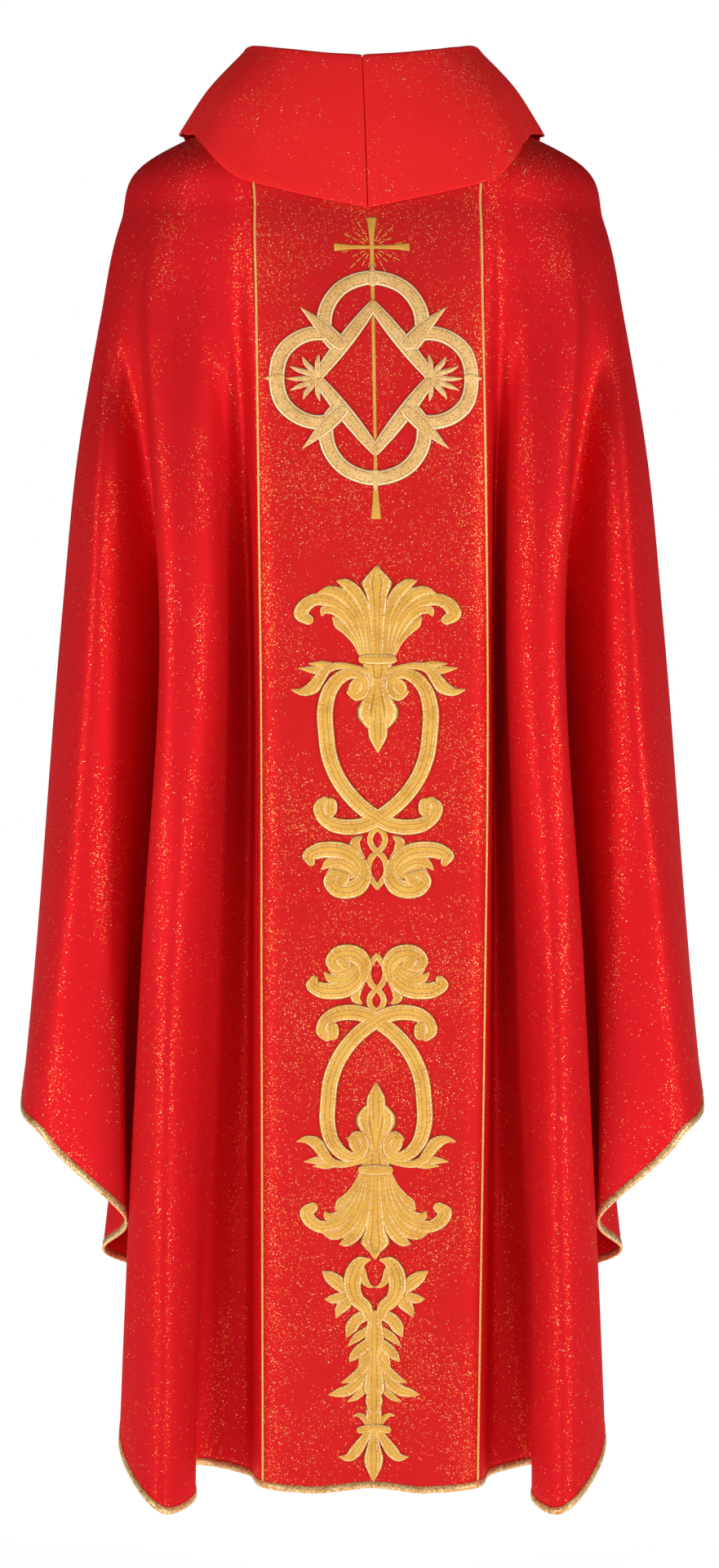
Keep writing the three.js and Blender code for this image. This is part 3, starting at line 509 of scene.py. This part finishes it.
# ---------------------------------- body cloth
SIDES = [("left", -1), ("right", 1)]
FACES = [("back", lambda u: u), ("front", lambda u: HALF_ROUND - u)]


def cloth_rows(u, count, hem):
    """Heights down each column to a distance above the hem, closer together over the shoulder."""
    share = np.linspace(0, 1, count)[:, None] ** 1.35
    return NECK_TOP + (above_hem(u, hem)[None, :] - NECK_TOP) * share


def make_body_cloth():
    for face, across in FACES:
        for name, side in SIDES:
            u = across(np.linspace(PANEL_HALF, SEAM_U, 150))
            z = cloth_rows(u, 170, CLOTH_HEM)
            u = np.broadcast_to(u, z.shape)
            points, normals, _ = cloth_frame(side, u, z)
            piece = slab(f"{face}_cloth_{name}", points + normals * CLOTH / 2,
                         points - normals * CLOTH / 2, np.stack([side * u, z], -1))
            finish_piece(piece, LAME)
            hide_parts(f"{face}_body_{name}", f"{face}_wing_{name}")
            follow_arm(piece)


def panel_sheet(name, across, half_width, columns, rows, hem, outer, inner):
    """A sheet down the panel, from outer to inner as measured out from the cloth's middle."""
    s = np.linspace(-half_width, half_width, columns)
    z = cloth_rows(across(np.abs(s)), rows, hem)
    points, normals = panel_frame(across, s, z)
    flat = np.stack([np.broadcast_to(s, z.shape), z], -1)
    return slab(name, points + normals * outer, points + normals * inner, flat)


def make_panels():
    for face, across in FACES:
        panel = panel_sheet(f"{face}_panel", across, PANEL_HALF, 61, 240, CLOTH_HEM,
                            CLOTH / 2, -CLOTH / 2)
        finish_piece(panel, PANEL)
        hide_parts(f"{face}_orphrey")
        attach(panel, "root")


# ---------------------------------- piping and hem binding
PIPING_PITCH = 4.2              # length of one turn of the two strands
PIPING_DIP = 0.22               # share of the radius lost between the strands
PIPING_HEM = 7


def make_piping():
    """Two gold strands twisted round each other, laid in the panel's seams."""
    for face, across in FACES:
        seam = across(PANEL_HALF)
        for name, side in SIDES:
            z = np.linspace(NECK_TOP, float(above_hem(np.array([seam]), PIPING_HEM)[0]), 900)
            points, normals, sideways = cloth_frame(side, np.full_like(z, seam), z)
            points = points + normals * CLOTH / 2
            angle = np.linspace(0, 2 * math.pi, 12, endpoint=False)
            twist = (z / PIPING_PITCH * 2 * math.pi)[:, None]
            strands = 1 - np.abs(np.cos(angle[None, :] - twist))
            radius = PIPING_RADIUS * (1 - PIPING_DIP * strands)
            rings = (points[:, None] + normals[:, None] * (radius * np.sin(angle))[..., None]
                     + unit(sideways)[:, None] * (radius * np.cos(angle))[..., None])
            around = angle[None, :] * PIPING_RADIUS - twist
            uvs = np.stack(np.broadcast_arrays(around, z[:, None]), -1)
            piece = tube(f"{face}_cord_{name}", rings, uvs)
            finish_piece(piece, CORD)
            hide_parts(f"{face}_piping_{name}")
            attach(piece, "root")


def binding_section():
    """Corners [out, up] of the folded binding, round at its lower edge."""
    turn = np.linspace(0, math.pi, 7)
    lower = [(BINDING_REACH * math.cos(a), BINDING_REACH * (1 - math.sin(a))) for a in turn]
    upper = 0.75 * BINDING_REACH
    return np.array([(upper, BINDING_HEIGHT)] + lower + [(-upper, BINDING_HEIGHT)])


def binding_strip(name, side, u):
    section = binding_section()
    rings = []
    for out, up in section:
        points, normals, _ = cloth_frame(side, u, above_hem(u, up))
        rings.append(points + normals * out)
    rings = np.stack(rings, 1)
    run = np.cumsum(np.r_[0, np.linalg.norm(np.diff(rings[:, 0], axis=0), axis=1)])
    uvs = np.stack(np.broadcast_arrays(run[:, None], section[None, :, 1]), -1)
    return tube(name, rings, uvs)


BINDING_JOIN = 140              # u where the centre's binding meets the wing's


def make_bindings():
    for face, across in FACES:
        for name, side in SIDES:
            u = across(np.linspace(BINDING_JOIN, SEAM_U, 420))
            piece = binding_strip(f"{face}_edge_binding_{name}", side, u)
            finish_piece(piece, BINDING)
            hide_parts(f"{face}_wing_binding_{name}")
            follow_arm(piece)
            u = across(np.linspace(0, BINDING_JOIN, 81))
            piece = binding_strip(f"{face}_centre_binding_{name}", side, u)
            finish_piece(piece, BINDING)
            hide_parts(f"{face}_hem_binding")
            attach(piece, "root")


# ---------------------------------- inner pieces
INTERLINING_DEPTHS = (-0.9, -1.7)       # its two faces, out from the cloth's middle
TAPE_DEPTHS = (-1.4, -2.0)
TAPE_HALF = 7
LOOP_HALF_WIDTH = 16
LOOP_TOP = -10
LOOP_DROP = 34
LOOP_INSET = 9
LOOP_STRIP, LOOP_RISE = 2.4, 0.8        # half the width and half the thickness of its strip


def make_interlining():
    for face, across in FACES:
        piece = panel_sheet(f"{face}_lining", across, PANEL_HALF - 2, 41, 120, INTERLINING_HEM,
                            *INTERLINING_DEPTHS)
        finish_piece(piece, INTERLINING)
        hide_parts(f"{face}_interlining")
        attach(piece, "root")


def make_tapes():
    u = np.linspace(SEAM_U - TAPE_HALF, SEAM_U + TAPE_HALF, 9)
    outer, inner = TAPE_DEPTHS
    for name, side in SIDES:
        for part, top, bottom, rows in (("shoulder", -2, -68, 30), ("wing", -76, -679, 120)):
            grid_u, z = np.broadcast_arrays(u, np.linspace(top, bottom, rows)[:, None])
            points, normals, _ = cloth_frame(side, grid_u, z)
            piece = slab(f"{part}_seam_tape_{name}", points + normals * outer,
                         points + normals * inner, np.stack([grid_u, z], -1))
            finish_piece(piece, LAME)
            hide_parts(f"{part}_tape_{name}")
            if part == "wing":
                follow_arm(piece)
            else:
                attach(piece, "root")


def make_loop():
    """A narrow strip that hangs in half a turn inside the back of the neck."""
    angle = np.linspace(0, math.pi, 60)[:, None]
    turn = np.linspace(0, 2 * math.pi, 12, endpoint=False)[None, :]
    across = LOOP_STRIP * np.cos(turn)
    z = LOOP_TOP - np.sin(angle) * (LOOP_DROP + across)
    sway = table_curve(SWAY, np.zeros(1))[0, 0]
    y = cloth(1, np.zeros(z.shape), z)[..., 1] + LOOP_INSET + LOOP_RISE * np.sin(turn)
    rings = np.stack([sway - (LOOP_HALF_WIDTH + across) * np.cos(angle), y, z], -1)
    flat = np.stack(np.broadcast_arrays(turn * LOOP_STRIP, angle * 50), -1)
    piece = tube("neck_loop", rings, flat)
    finish_piece(piece, LAME)
    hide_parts("hanging_loop")
    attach(piece, "root")


# ---------------------------------- roll collar
# A row of CREST is (u, x, y, z), with x and y as in LINES, and one of FALL_EDGE is (u, z).
CREST = [(0, 0, -92, 34), (50, -34, -89, 36), (100, -63, -80, 40), (200, -87, -62, 45),
         (335, -103, -38, 50), (500, -110, -12, 53), (720, -113, 15, 54)]
FALL_EDGE = [(0, -112), (50, -101), (100, -87), (145, -78), (200, -63), (240, -53), (285, -46),
             (335, -40), (420, -37), (500, -35), (720, -33)]
COLLAR_CLEARANCE = 4.5
COLLAR_FRONT_DROP = 14
COLLAR_ROLL = 9                 # how thick the roll is at the crest
COLLAR_SEAM_LIFT = 1.5
TIP_U, TIP_SPREAD, TIP_FLARE = 640, 130, 4.5    # where the collar's tips stand further out
COLLAR_DEPTH = 210              # length of the collar's cloth from its seam to its edge
COLLAR_TAKE_UP = 0.55           # its width as a share of the cloth's u
COLLAR_LIP = 0.985              # row where the edge starts to round off
LIP_ROUND = 0.35
SEAM_DIP, SEAM_DIP_WIDTH = 1.1, 2.5
RIPPLE = 0.7


def mirrored_rows(rows):
    return rows + [(HALF_ROUND - row[0], *row[1:]) for row in rows[-2::-1]]


def collar_profile(side, u):
    """Seven control points of the collar's section at each u, from the neck seam to its edge."""
    round_u = np.minimum(u, HALF_ROUND - u)
    crest_x = table_curve(mirrored_rows(CREST), u)[:, 0]
    crest_y = table_curve(CREST, round_u)[:, 1]
    crest_y = np.where(u > SEAM_U, SIDE_PLANE - FRONT_DEPTH * (crest_y - SIDE_PLANE), crest_y)
    frontness = np.maximum(0, (u - SEAM_U) / SEAM_U)
    crest_z = table_curve(mirrored_rows(CREST), u)[:, 2] - COLLAR_FRONT_DROP * frontness ** 2
    crest = np.stack([-side * crest_x, crest_y, crest_z], 1)
    up = np.array([0.0, 0.0, 1.0])
    seam = cloth(side, u, np.zeros_like(u)) + COLLAR_SEAM_LIFT * up
    edge_z = table_curve(mirrored_rows(FALL_EDGE), u)[:, 0]
    points, normals, _ = cloth_frame(side, u, edge_z)
    flare = TIP_FLARE * np.exp(-((round_u - TIP_U) / TIP_SPREAD) ** 2)
    edge = points + normals * (COLLAR_CLEARANCE + flare)[:, None]
    outward = unit(np.stack([crest[:, 0], crest[:, 1] - SIDE_PLANE / 2, 0 * u], 1))
    inner = crest - COLLAR_ROLL * outward
    middle = (crest + edge) / 2 + 2 * outward + 2 * up
    return np.stack([seam, seam + 0.6 * (inner - seam) - outward, inner - 6 * up,
                     crest - COLLAR_ROLL / 2 * outward, crest - 5 * up, middle, edge])


COLLAR_KNOTS = np.array([0, 0.17, 0.36, 0.48, 0.58, 0.79, 1.0])


def collar_surface(side, u, t):
    """Points and outward normals of the collar for rows t and columns u."""
    def surface(columns, rows):
        return smooth(COLLAR_KNOTS, collar_profile(side, columns), rows)

    along = surface(u, np.clip(t + 0.004, 0, 1)) - surface(u, np.clip(t - 0.004, 0, 1))
    sideways = surface(np.clip(u + 2, 0, HALF_ROUND), t) - surface(np.clip(u - 2, 0, HALF_ROUND), t)
    return surface(u, t), unit(np.cross(sideways, along) * -side)


# Each ply is (name, outer face, inner face, which of them is round at the edge, open seam).
# The outer ply stops short of the centre seams, so that they show as a fine dark line.
COLLAR_PLIES = [("collar", 1.2, 0.15, (1, 0), 0.6), ("under_collar", -0.15, -1.1, (0, 1), 0.0)]


def make_collar():
    t = np.r_[np.linspace(0, COLLAR_LIP, 70) ** 0.9, 0.994, 0.998, 1.0]
    for name, side in SIDES:
        for part, high, low, rounding, open_seam in COLLAR_PLIES:
            start = np.array([open_seam, 1.0, 1.8])
            u = np.r_[start, np.linspace(4, HALF_ROUND - 4, 238), HALF_ROUND - start[::-1]]
            points, normals = collar_surface(side, u, t)
            seam = SEAM_DIP * np.exp(-np.minimum(u, HALF_ROUND - u) / SEAM_DIP_WIDTH)
            ripple = RIPPLE * np.sin(u / 37.0 + 1.3 * side) * np.sin(u / 61.0) * t[:, None] ** 2
            points = points + normals * (ripple - seam)[..., None]
            lip = LIP_ROUND * np.clip((t - COLLAR_LIP) / (1 - COLLAR_LIP), 0, 1)[:, None, None]
            outer = points + normals * (high - rounding[0] * lip)
            inner = points + normals * (low + rounding[1] * lip)
            across, down = side * u[None, :] * COLLAR_TAKE_UP, -COLLAR_DEPTH * t[:, None]
            sheet = slab(f"{part}_cloth_{name}", outer, inner,
                         np.stack(np.broadcast_arrays(across, down), -1))
            finish_piece(sheet, COLLAR)
            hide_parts(f"{part}_{name}")
            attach(sheet, "root")


# ---------------------------------- embroidery
# A stroke is a row of (s, depth, half width) down its middle: s is measured from the motif's
# centre line and depth down from the origin. A trailing number in a motif's entry is the
# layer the stroke lies in, higher ones over lower ones.
THREAD_CENTRE = 3.0             # s of the motifs, off the panel's middle
THREAD_DOME = 1.1
THREAD_LAYER = 0.28
STITCH_STEP = 1.6
THINNEST = 0.12                 # half width where a stroke runs out to a point
ROUND_END = 1.5                 # strokes wider than this at an end are rounded there
FULL_DOME = 3.0                 # half width from which a stroke is as high as it gets
FURROW_DEPTH, FURROW_WIDTH, FURROW_FROM = 0.18, 0.14, 3.4   # the middle of a wide stroke
CROSSING = 147.5                # depth of the cross's crossing
RAYS = 20
SHORT_RAY, LONG_RAY = 20, 27
LOWER_WIDTH, LOWER_LENGTH = 0.95, 0.94      # the lower scroll's size, as a share of the upper's
UPPER_TOP, LOWER_BOTTOM = 438, 1065.4

CROSS = {
    "middle": [
        ([(0, 120, 5), (0, 127, 3.4), (0, 140, 2.2), (0, 200, 1.7), (0, 280, 1.5), (0, 350, 1.6),
          (0, 372, 2.4), (0, 396, 4.8)], 1),
        ([(-33, CROSSING, 4), (-22, CROSSING, 2.5), (0, CROSSING, 1.7), (22, CROSSING, 2.5),
          (33, CROSSING, 4)], 1),
    ],
    "mirrored": [],
}

MEDALLION = {
    "middle": [
        ([(-36, 236, 6), (-42, 224, 7), (-41, 206, 7), (-28, 186, 7), (0, 176, 7), (28, 186, 7),
          (41, 206, 7), (42, 224, 7), (36, 236, 6)], 2),
        ([(-36, 299, 6), (-42, 311, 7), (-41, 329, 7), (-28, 349, 7), (0, 359, 7), (28, 349, 7),
          (41, 329, 7), (42, 311, 7), (36, 299, 6)], 2),
        ([(0, 178, 6), (0, 171, 3), (0, 164, 0.3)], 3),
        ([(0, 357, 6), (0, 364, 3), (0, 371, 0.3)], 3),
    ],
    "mirrored": [
        ([(33, 232, 6), (45, 227, 7), (60, 229, 7), (77, 243, 7), (83, 267.5, 7), (77, 292, 7),
          (60, 306, 7), (45, 308, 7), (33, 303, 6)], 2),
        ([(30, 236, 6.5), (42, 224, 7), (52, 214, 4), (63, 203, 0.3)], 3),
        ([(30, 299, 6.5), (42, 311, 7), (52, 321, 4), (63, 332, 0.3)], 3),
        ([(82, 267.5, 6), (88, 267.5, 3), (94, 267.5, 0.3)], 3),
        ([(0, 201, 4.5), (50, 267.5, 4.5)], 1),
        ([(0, 334, 4.5), (50, 267.5, 4.5)], 1),
        ([(48, 267, 1), (49, 260, 2.4), (49, 253, 2.2), (47.5, 246, 0.3)], 4),
        ([(49, 267, 1), (55, 259, 2.6), (59, 254, 2.2), (62, 248, 0.3)], 4),
        ([(49, 267, 1), (58, 263, 2.6), (65, 260.5, 2.2), (72, 257, 0.3)], 4),
        ([(49, 267.5, 1), (60, 268, 2.6), (67, 268.5, 2.2), (75, 268, 0.3)], 4),
        ([(49, 268, 1), (58, 272.5, 2.6), (65, 275.5, 2.2), (72, 279, 0.3)], 4),
        ([(49, 268, 1), (55, 276, 2.6), (59, 281, 2.2), (62, 287, 0.3)], 4),
        ([(48, 268, 1), (49, 275, 2.4), (49, 282, 2.2), (47.5, 289, 0.3)], 4),
    ],
}

SCROLL = {
    "middle": [
        ([(0, 524, 5), (0, 500, 6), (0, 480, 8), (0, 465, 10), (0, 453, 14), (0, 448, 10), (0, 443, 5),
          (0, 438, 0.3)], 5),
        ([(-13, 523.2, 4.1), (13, 523.2, 4.1)], 7),
        ([(0, 528, 14), (0, 536, 11), (0, 548, 8), (0, 560, 9)], 1),
        ([(0, 545, 6), (0, 556, 12), (0, 568, 19), (0, 576, 18.5), (0, 584, 12), (0, 590, 5)], 2),
        ([(0, 570, 7), (0, 582, 9.5), (0, 594, 8.5), (0, 602, 4), (0, 608, 0.3)], 3),
    ],
    "mirrored": [
        ([(6, 520, 3), (8, 495, 4), (12, 475, 5), (20, 461, 6), (29, 454, 4.5), (35.5, 452, 0.5)], 4),
        ([(8, 520, 3), (12, 495, 5), (20, 476, 6.5), (32, 464, 6), (43, 461, 4.5), (52, 463, 0.5)], 3),
        ([(10, 520, 3), (16, 497, 4.5), (28, 478, 6), (42, 470, 6), (56, 469.5, 6), (64, 476, 6.2),
          (66, 483, 6), (61, 487, 5)], 2),
        ([(12, 520, 2.5), (19, 500, 4), (30, 484, 5), (41, 477.5, 5), (47, 479, 4), (49, 484, 0.8)], 1),
        ([(14, 520, 2), (20, 507, 3), (28, 497, 4), (35, 491, 4), (38, 486, 2)], 0),
        ([(10, 534, 3), (22, 530.5, 3), (35, 529, 3.5), (45, 532, 4.5), (52, 541, 5.5), (58, 549, 6),
          (66, 552.5, 4), (75, 550.5, 0.4)], 3),
        ([(36, 530, 3), (50, 527.5, 3.2), (61, 527, 0.4)], 2),
        ([(44, 532, 4), (57, 532.5, 4), (69, 531, 0.4)], 1),
        ([(25, 553, 3), (19, 557, 4), (12.5, 553, 4.5), (11.5, 545, 4.8), (15, 538.5, 5), (23, 535.5, 5.5),
          (33, 539.5, 6.2), (42, 550, 7), (47, 568, 7.5), (46.5, 590, 7.5), (44, 610, 7.5),
          (36, 631, 7.5), (22, 650, 7.5), (5, 664, 7.5), (-12, 673, 7.5), (-28, 675, 7.5),
          (-42, 672, 7), (-51, 664, 6), (-53, 656, 5), (-48, 651, 4)], 4),
        ([(19, 547, 6.5), (20, 549, 6.5)], 5),
        ([(-43, 655, 6.5), (-43, 659, 6.5)], 5),
        ([(0, 676, 2.4), (5.5, 681, 2.8), (7, 687, 2.8), (4.5, 693, 2.8), (0, 697.5, 2.8), (-5, 702, 3),
          (-8, 710, 2.8), (-7, 719, 2.8), (-2, 727, 2.6), (0, 730, 2)], 2),
        ([(14, 683, 1), (20, 688, 4.5), (20, 696, 5.5), (14, 706, 4), (11, 715, 2)], 1),
        ([(13, 724, 4), (14, 714, 6), (20, 704, 7.5), (30, 697.5, 8), (43, 695.5, 8), (55, 697, 7.5),
          (61.5, 702, 6), (60, 707, 3.5)], 3),
        ([(17, 722, 4), (24, 711, 6), (35, 706, 6), (45, 708, 4.5), (51, 714, 0.5)], 2),
        ([(18, 722, 4), (27, 714, 6), (37, 712, 5.5), (44, 717, 3)], 1),
        ([(13, 708, 4.5), (11.5, 719, 7), (17, 728, 8.5), (28, 732, 8.5), (38, 730, 8), (43.5, 723.5, 6),
          (40, 717.5, 4.5), (34, 718, 3.5)], 4),
        ([(31, 721.5, 6), (33, 724, 6)], 5),
    ],
}

PENDANT = {
    "middle": [
        ([(0, 1117, 5.5), (0, 1121, 5.5)], 5),
        ([(0, 1122, 7), (0, 1133, 9.5), (0, 1143, 9), (0, 1152, 5), (0, 1158, 1)], 3),
        ([(0, 1158, 6), (0, 1172, 9), (0, 1184, 10.5), (0, 1190, 7)], 3),
        ([(0, 1187, 7), (0, 1194, 8.6), (0, 1199, 7)], 4),
        ([(0, 1200, 7.5), (0, 1213, 7.3)], 2),
        ([(-13, 1220, 3.4), (0, 1218, 3.4), (13, 1220, 3.4)], 5),
        ([(0, 1220, 3), (0, 1235, 6.5), (0, 1245, 9.5), (0, 1252, 8.5), (0, 1260, 4.5), (0, 1267, 0.3)], 4),
    ],
    "mirrored": [
        ([(6, 1066, 2), (13, 1068, 6), (19, 1078, 9), (21, 1092, 8.5), (16, 1103, 7), (9, 1109, 6.5),
          (6, 1117, 5)], 4),
        ([(12, 1076, 3.5), (9, 1086, 3.5), (5, 1090, 2), (0, 1091, 0.3)], 3),
        ([(22, 1098, 2), (28, 1093, 5), (36, 1086, 7), (43, 1081, 5.5), (49.5, 1076.5, 0.4)], 2),
        ([(24, 1096, 2.5), (35, 1101, 5), (41, 1102, 4), (47, 1102, 0.3)], 1),
        ([(20, 1097, 3.5), (28, 1106, 6.5), (33, 1112, 4.5), (36, 1119, 0.4)], 2),
        ([(6, 1115, 5), (17, 1121, 6), (22, 1128, 6), (26, 1136, 1)], 2),
        ([(6, 1130, 4), (17, 1137, 4), (25, 1144.5, 0.5)], 1),
        ([(6, 1142, 5), (15, 1149, 5.5), (20, 1154, 4), (23.5, 1158.5, 0.5)], 2),
        ([(5, 1150, 4), (11, 1157, 4), (15, 1164, 0.5)], 1),
        ([(5, 1158, 4), (13, 1167, 4.5), (21, 1173.5, 4), (31, 1177.5, 0.4)], 2),
        ([(6, 1162, 4), (14, 1176, 5), (24, 1184, 5.5), (33, 1186.5, 4.5), (43, 1188.5, 0.4)], 1),
        ([(7, 1176, 3.5), (13, 1187, 3.5), (18, 1191, 3), (25, 1194.7, 0.4)], 0),
        ([(5, 1216, 2.5), (9, 1210, 3), (14, 1206.5, 2.2), (20, 1207.5, 0.4)], 1),
        ([(5, 1222, 3), (11, 1231, 5), (17, 1239, 6), (23, 1244.5, 4.5), (33, 1244.5, 0.4)], 3),
    ],
}


def turned_over(entries):
    """The lower scroll is the upper one turned over and a little smaller."""
    return [([(LOWER_WIDTH * s, LOWER_BOTTOM - LOWER_LENGTH * (depth - UPPER_TOP), half)
              for s, depth, half in points], layer) for points, layer in entries]


def strokes_of(motif):
    """All of a motif's strokes, the mirrored ones half a layer over the ones that they mirror."""
    flipped = [([(-s, depth, half) for s, depth, half in points], layer + 0.5)
               for points, layer in motif["mirrored"]]
    return motif["middle"] + motif["mirrored"] + flipped


def rounded(points):
    """Adds a round end to each end of a stroke that isn't a point."""
    points = [tuple(map(float, point)) for point in points]
    for _ in range(2):
        points.reverse()
        (s, depth, half), (s0, depth0, _) = points[-1], points[-2]
        if half <= ROUND_END:
            continue
        length = math.hypot(s - s0, depth - depth0)
        ds, dd = (s - s0) / length, (depth - depth0) / length
        points += [(s + ds * half * a, depth + dd * half * a, half * math.sqrt(1 - a * a))
                   for a in (0.5, 0.8, 0.95, 0.999)]
    return np.array(points)


def ribbon(across, points, base, dome, square_ends=False):
    """Rings and UVs of one raised stroke, round on top and flat underneath."""
    stroke = np.array(points, float) if square_ends else rounded(points)
    steps = np.hypot(*np.diff(stroke[:, :2], axis=0).T)
    along = np.r_[0, np.cumsum(steps)]
    count = max(8, int(along[-1] / STITCH_STEP))
    at = np.unique(np.r_[np.linspace(0, along[-1], count), along])
    path = smooth(along, stroke, at)
    half = np.clip((np.interp(at, along, stroke[:, 2]) + path[:, 2]) / 2, THINNEST, None)
    tangent = unit(np.gradient(path[:, :2], at, axis=0))
    cross = np.stack([-tangent[:, 1], tangent[:, 0]], 1)
    w = np.sin(np.linspace(-math.pi / 2, math.pi / 2, 11))
    place = path[:, None, :2] + cross[:, None] * (half[:, None] * w)[..., None]
    points, normals = panel_frame(across, place[..., 0] + THREAD_CENTRE, -place[..., 1])
    rise = dome * np.minimum(1, half / FULL_DOME)[:, None] * np.sqrt(1 - 0.96 * w ** 2)
    furrow = FURROW_DEPTH * np.exp(-(w / FURROW_WIDTH) ** 2) * (half > FURROW_FROM)[:, None]
    rings = points + normals * (base + rise * (1 - furrow))[..., None]
    flat = np.stack(np.broadcast_arrays(at[:, None], half[:, None] * w), -1) * MM
    stroke_uv = np.stack(np.broadcast_arrays(w[None, :], (at / along[-1])[:, None]), -1)
    return rings, {"flat": flat, "stroke": stroke_uv}


def ray_strokes():
    """Short stitches that radiate from the crossing, long and short by turns."""
    rays = []
    for k in range(RAYS):
        angle = 2 * math.pi * (k + 0.5) / RAYS
        reach = (SHORT_RAY, LONG_RAY)[k % 2]
        s, depth = math.cos(angle), math.sin(angle)
        for start, end in ((7, 12), (14, 19), (21, reach)):
            if end - start > 1 and abs(depth) * start > 3:
                rays.append([(s * r, CROSSING + depth * r, 0.45) for r in (start, end)])
    return rays


def make_embroidery():
    lower = {key: turned_over(entries) for key, entries in SCROLL.items()}
    # name, strokes, material, slot, height of the lowest layer off the cloth, dome
    motifs = [
        ("cross", strokes_of(CROSS), FLAT_THREAD, "gold_embroidery", 0.05, 0.6),
        ("medallion", strokes_of(MEDALLION), PALE_THREAD, "pale_embroidery", 0.7, THREAD_DOME),
        ("upper_scroll", strokes_of(SCROLL), GOLD_THREAD, "gold_embroidery", 0.1, THREAD_DOME),
        ("lower_scroll", strokes_of(lower), GOLD_THREAD, "gold_embroidery", 0.1, THREAD_DOME),
        ("pendant", strokes_of(PENDANT), GOLD_THREAD, "gold_embroidery", 0.1, THREAD_DOME),
    ]
    for face, across in FACES:
        for name, strokes, material, slot, lift, dome in motifs:
            is_cross = name == "cross"
            ribbons = [ribbon(across, points, CLOTH / 2 + lift + THREAD_LAYER * layer, dome, is_cross)
                       for points, layer in strokes]
            if is_cross:
                ribbons += [ribbon(across, points, CLOTH / 2, 0.4) for points in ray_strokes()]
            piece = joined_tubes(f"{face}_{name}_stitching", ribbons)
            finish_piece(piece, material)
            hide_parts(f"{face}_{name}")
            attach(piece, "root")


# ---------------------------------- stage
# Everything from here on is in metres.
STAGE_RADIUS = 40.0
STAGE_SIDES = 96
FLOOR_Z = -1.45
FLOOR_GLOW = 1.15
GLOW_REACH = 6.0                # from the origin, and the ramp's stops are shares of it
SKY_RINGS = 24
CAMERA_DISTANCE = 4.2           # from the plane where the photo was scaled
PHOTO_PLANE_Y = -0.150
PHOTO_HEIGHT = 1.4208           # what the photo spans there
CAMERA_X, CAMERA_Z = -0.0026, -0.636
SENSOR = 36                     # millimetres
# name, place, target, (width, height), power
LIGHTS = [
    ("left softbox", (-3.2, -2.9, 0.1), (0, 0, -0.6), (1.0, 2.4), 65),
    ("right softbox", (3.2, -2.9, 0.1), (0, 0, -0.6), (1.0, 2.4), 65),
    ("front fill", (0.2, -4.6, 0.3), (0, 0, -0.7), (1.2, 1.8), 7),
]


def make_floor(ring):
    floor = make_object("floor", (ring * STAGE_RADIUS + [0, 0, FLOOR_Z]) / MM, [list(range(STAGE_SIDES))])
    n = Nodes("floor")
    place = n.place()
    colour = n.ramp(n.noise(place, 3.0), [(0.0, (0.86, 0.86, 0.86)), (1.0, (0.90, 0.90, 0.90))])
    reach = n.add("ShaderNodeVectorMath", {0: place}, operation="LENGTH").outputs["Value"]
    glow = n.ramp(n.math("DIVIDE", reach, GLOW_REACH), [(0.1, grey(0.55)), (0.35, grey(1.0))])
    n.set(Base_Color=colour, Roughness=0.9, Specular_IOR_Level=0.0, Emission_Color=colour,
          Emission_Strength=n.math("MULTIPLY", glow, FLOOR_GLOW))
    floor.data.materials.append(n.material)
    return floor


def make_sky(ring):
    """A white dome that only the camera sees, so that it lights nothing and casts no shadow."""
    tilts = np.linspace(-0.05, math.pi / 2 - 0.01, SKY_RINGS)
    rings = [ring * STAGE_RADIUS * math.cos(a) + [0, 0, STAGE_RADIUS * math.sin(a)] for a in tilts]
    ids = np.arange(SKY_RINGS * STAGE_SIDES).reshape(SKY_RINGS, STAGE_SIDES)
    after = np.roll(ids, -1, axis=1)
    faces = np.stack([ids[:-1], after[:-1], after[1:], ids[1:]], -1).reshape(-1, 4)
    sky = make_object("sky", np.concatenate(rings) / MM, faces.tolist())
    n = Nodes("sky")
    n.set(Base_Color=grey(0.0), Specular_IOR_Level=0.0, Emission_Color=grey(1.0), Emission_Strength=1.0)
    sky.data.materials.append(n.material)
    sky.visible_diffuse = sky.visible_glossy = sky.visible_shadow = False
    return sky


def make_stage():
    scene = bpy.context.scene
    scene.view_settings.view_transform = "Standard"
    world = bpy.data.worlds.new("studio")
    world.use_nodes = True
    background = world.node_tree.nodes["Background"]
    background.inputs["Color"].default_value = grey(1.0)
    background.inputs["Strength"].default_value = 0.05
    scene.world = world
    turn = np.linspace(0, 2 * math.pi, STAGE_SIDES, endpoint=False)
    ring = np.stack([np.cos(turn), np.sin(turn), 0 * turn], 1)
    make_floor(ring)
    make_sky(ring)


def area_light(name, place, target, size, power):
    light = bpy.data.lights.new(name, "AREA")
    light.shape = "RECTANGLE"
    light.size, light.size_y = size
    light.energy = power
    lamp = bpy.data.objects.new(name, light)
    bpy.context.scene.collection.objects.link(lamp)
    lamp.location = place
    lamp.rotation_euler = (Vector(target) - Vector(place)).to_track_quat("-Z", "Y").to_euler()


def make_camera_and_light():
    camera = bpy.data.cameras.new("camera")
    camera.sensor_fit = "VERTICAL"
    camera.sensor_height = SENSOR
    camera.lens = SENSOR * CAMERA_DISTANCE / PHOTO_HEIGHT
    eye = bpy.data.objects.new("camera", camera)
    bpy.context.scene.collection.objects.link(eye)
    eye.location = (CAMERA_X, PHOTO_PLANE_Y - CAMERA_DISTANCE, CAMERA_Z)
    eye.rotation_euler = (math.pi / 2, 0, 0)
    bpy.context.scene.camera = eye
    for light in LIGHTS:
        area_light(*light)


make_camera_and_light()
make_stage()
make_body_cloth()
make_panels()
make_piping()
make_bindings()
make_interlining()
make_tapes()
make_loop()
make_collar()
make_embroidery()
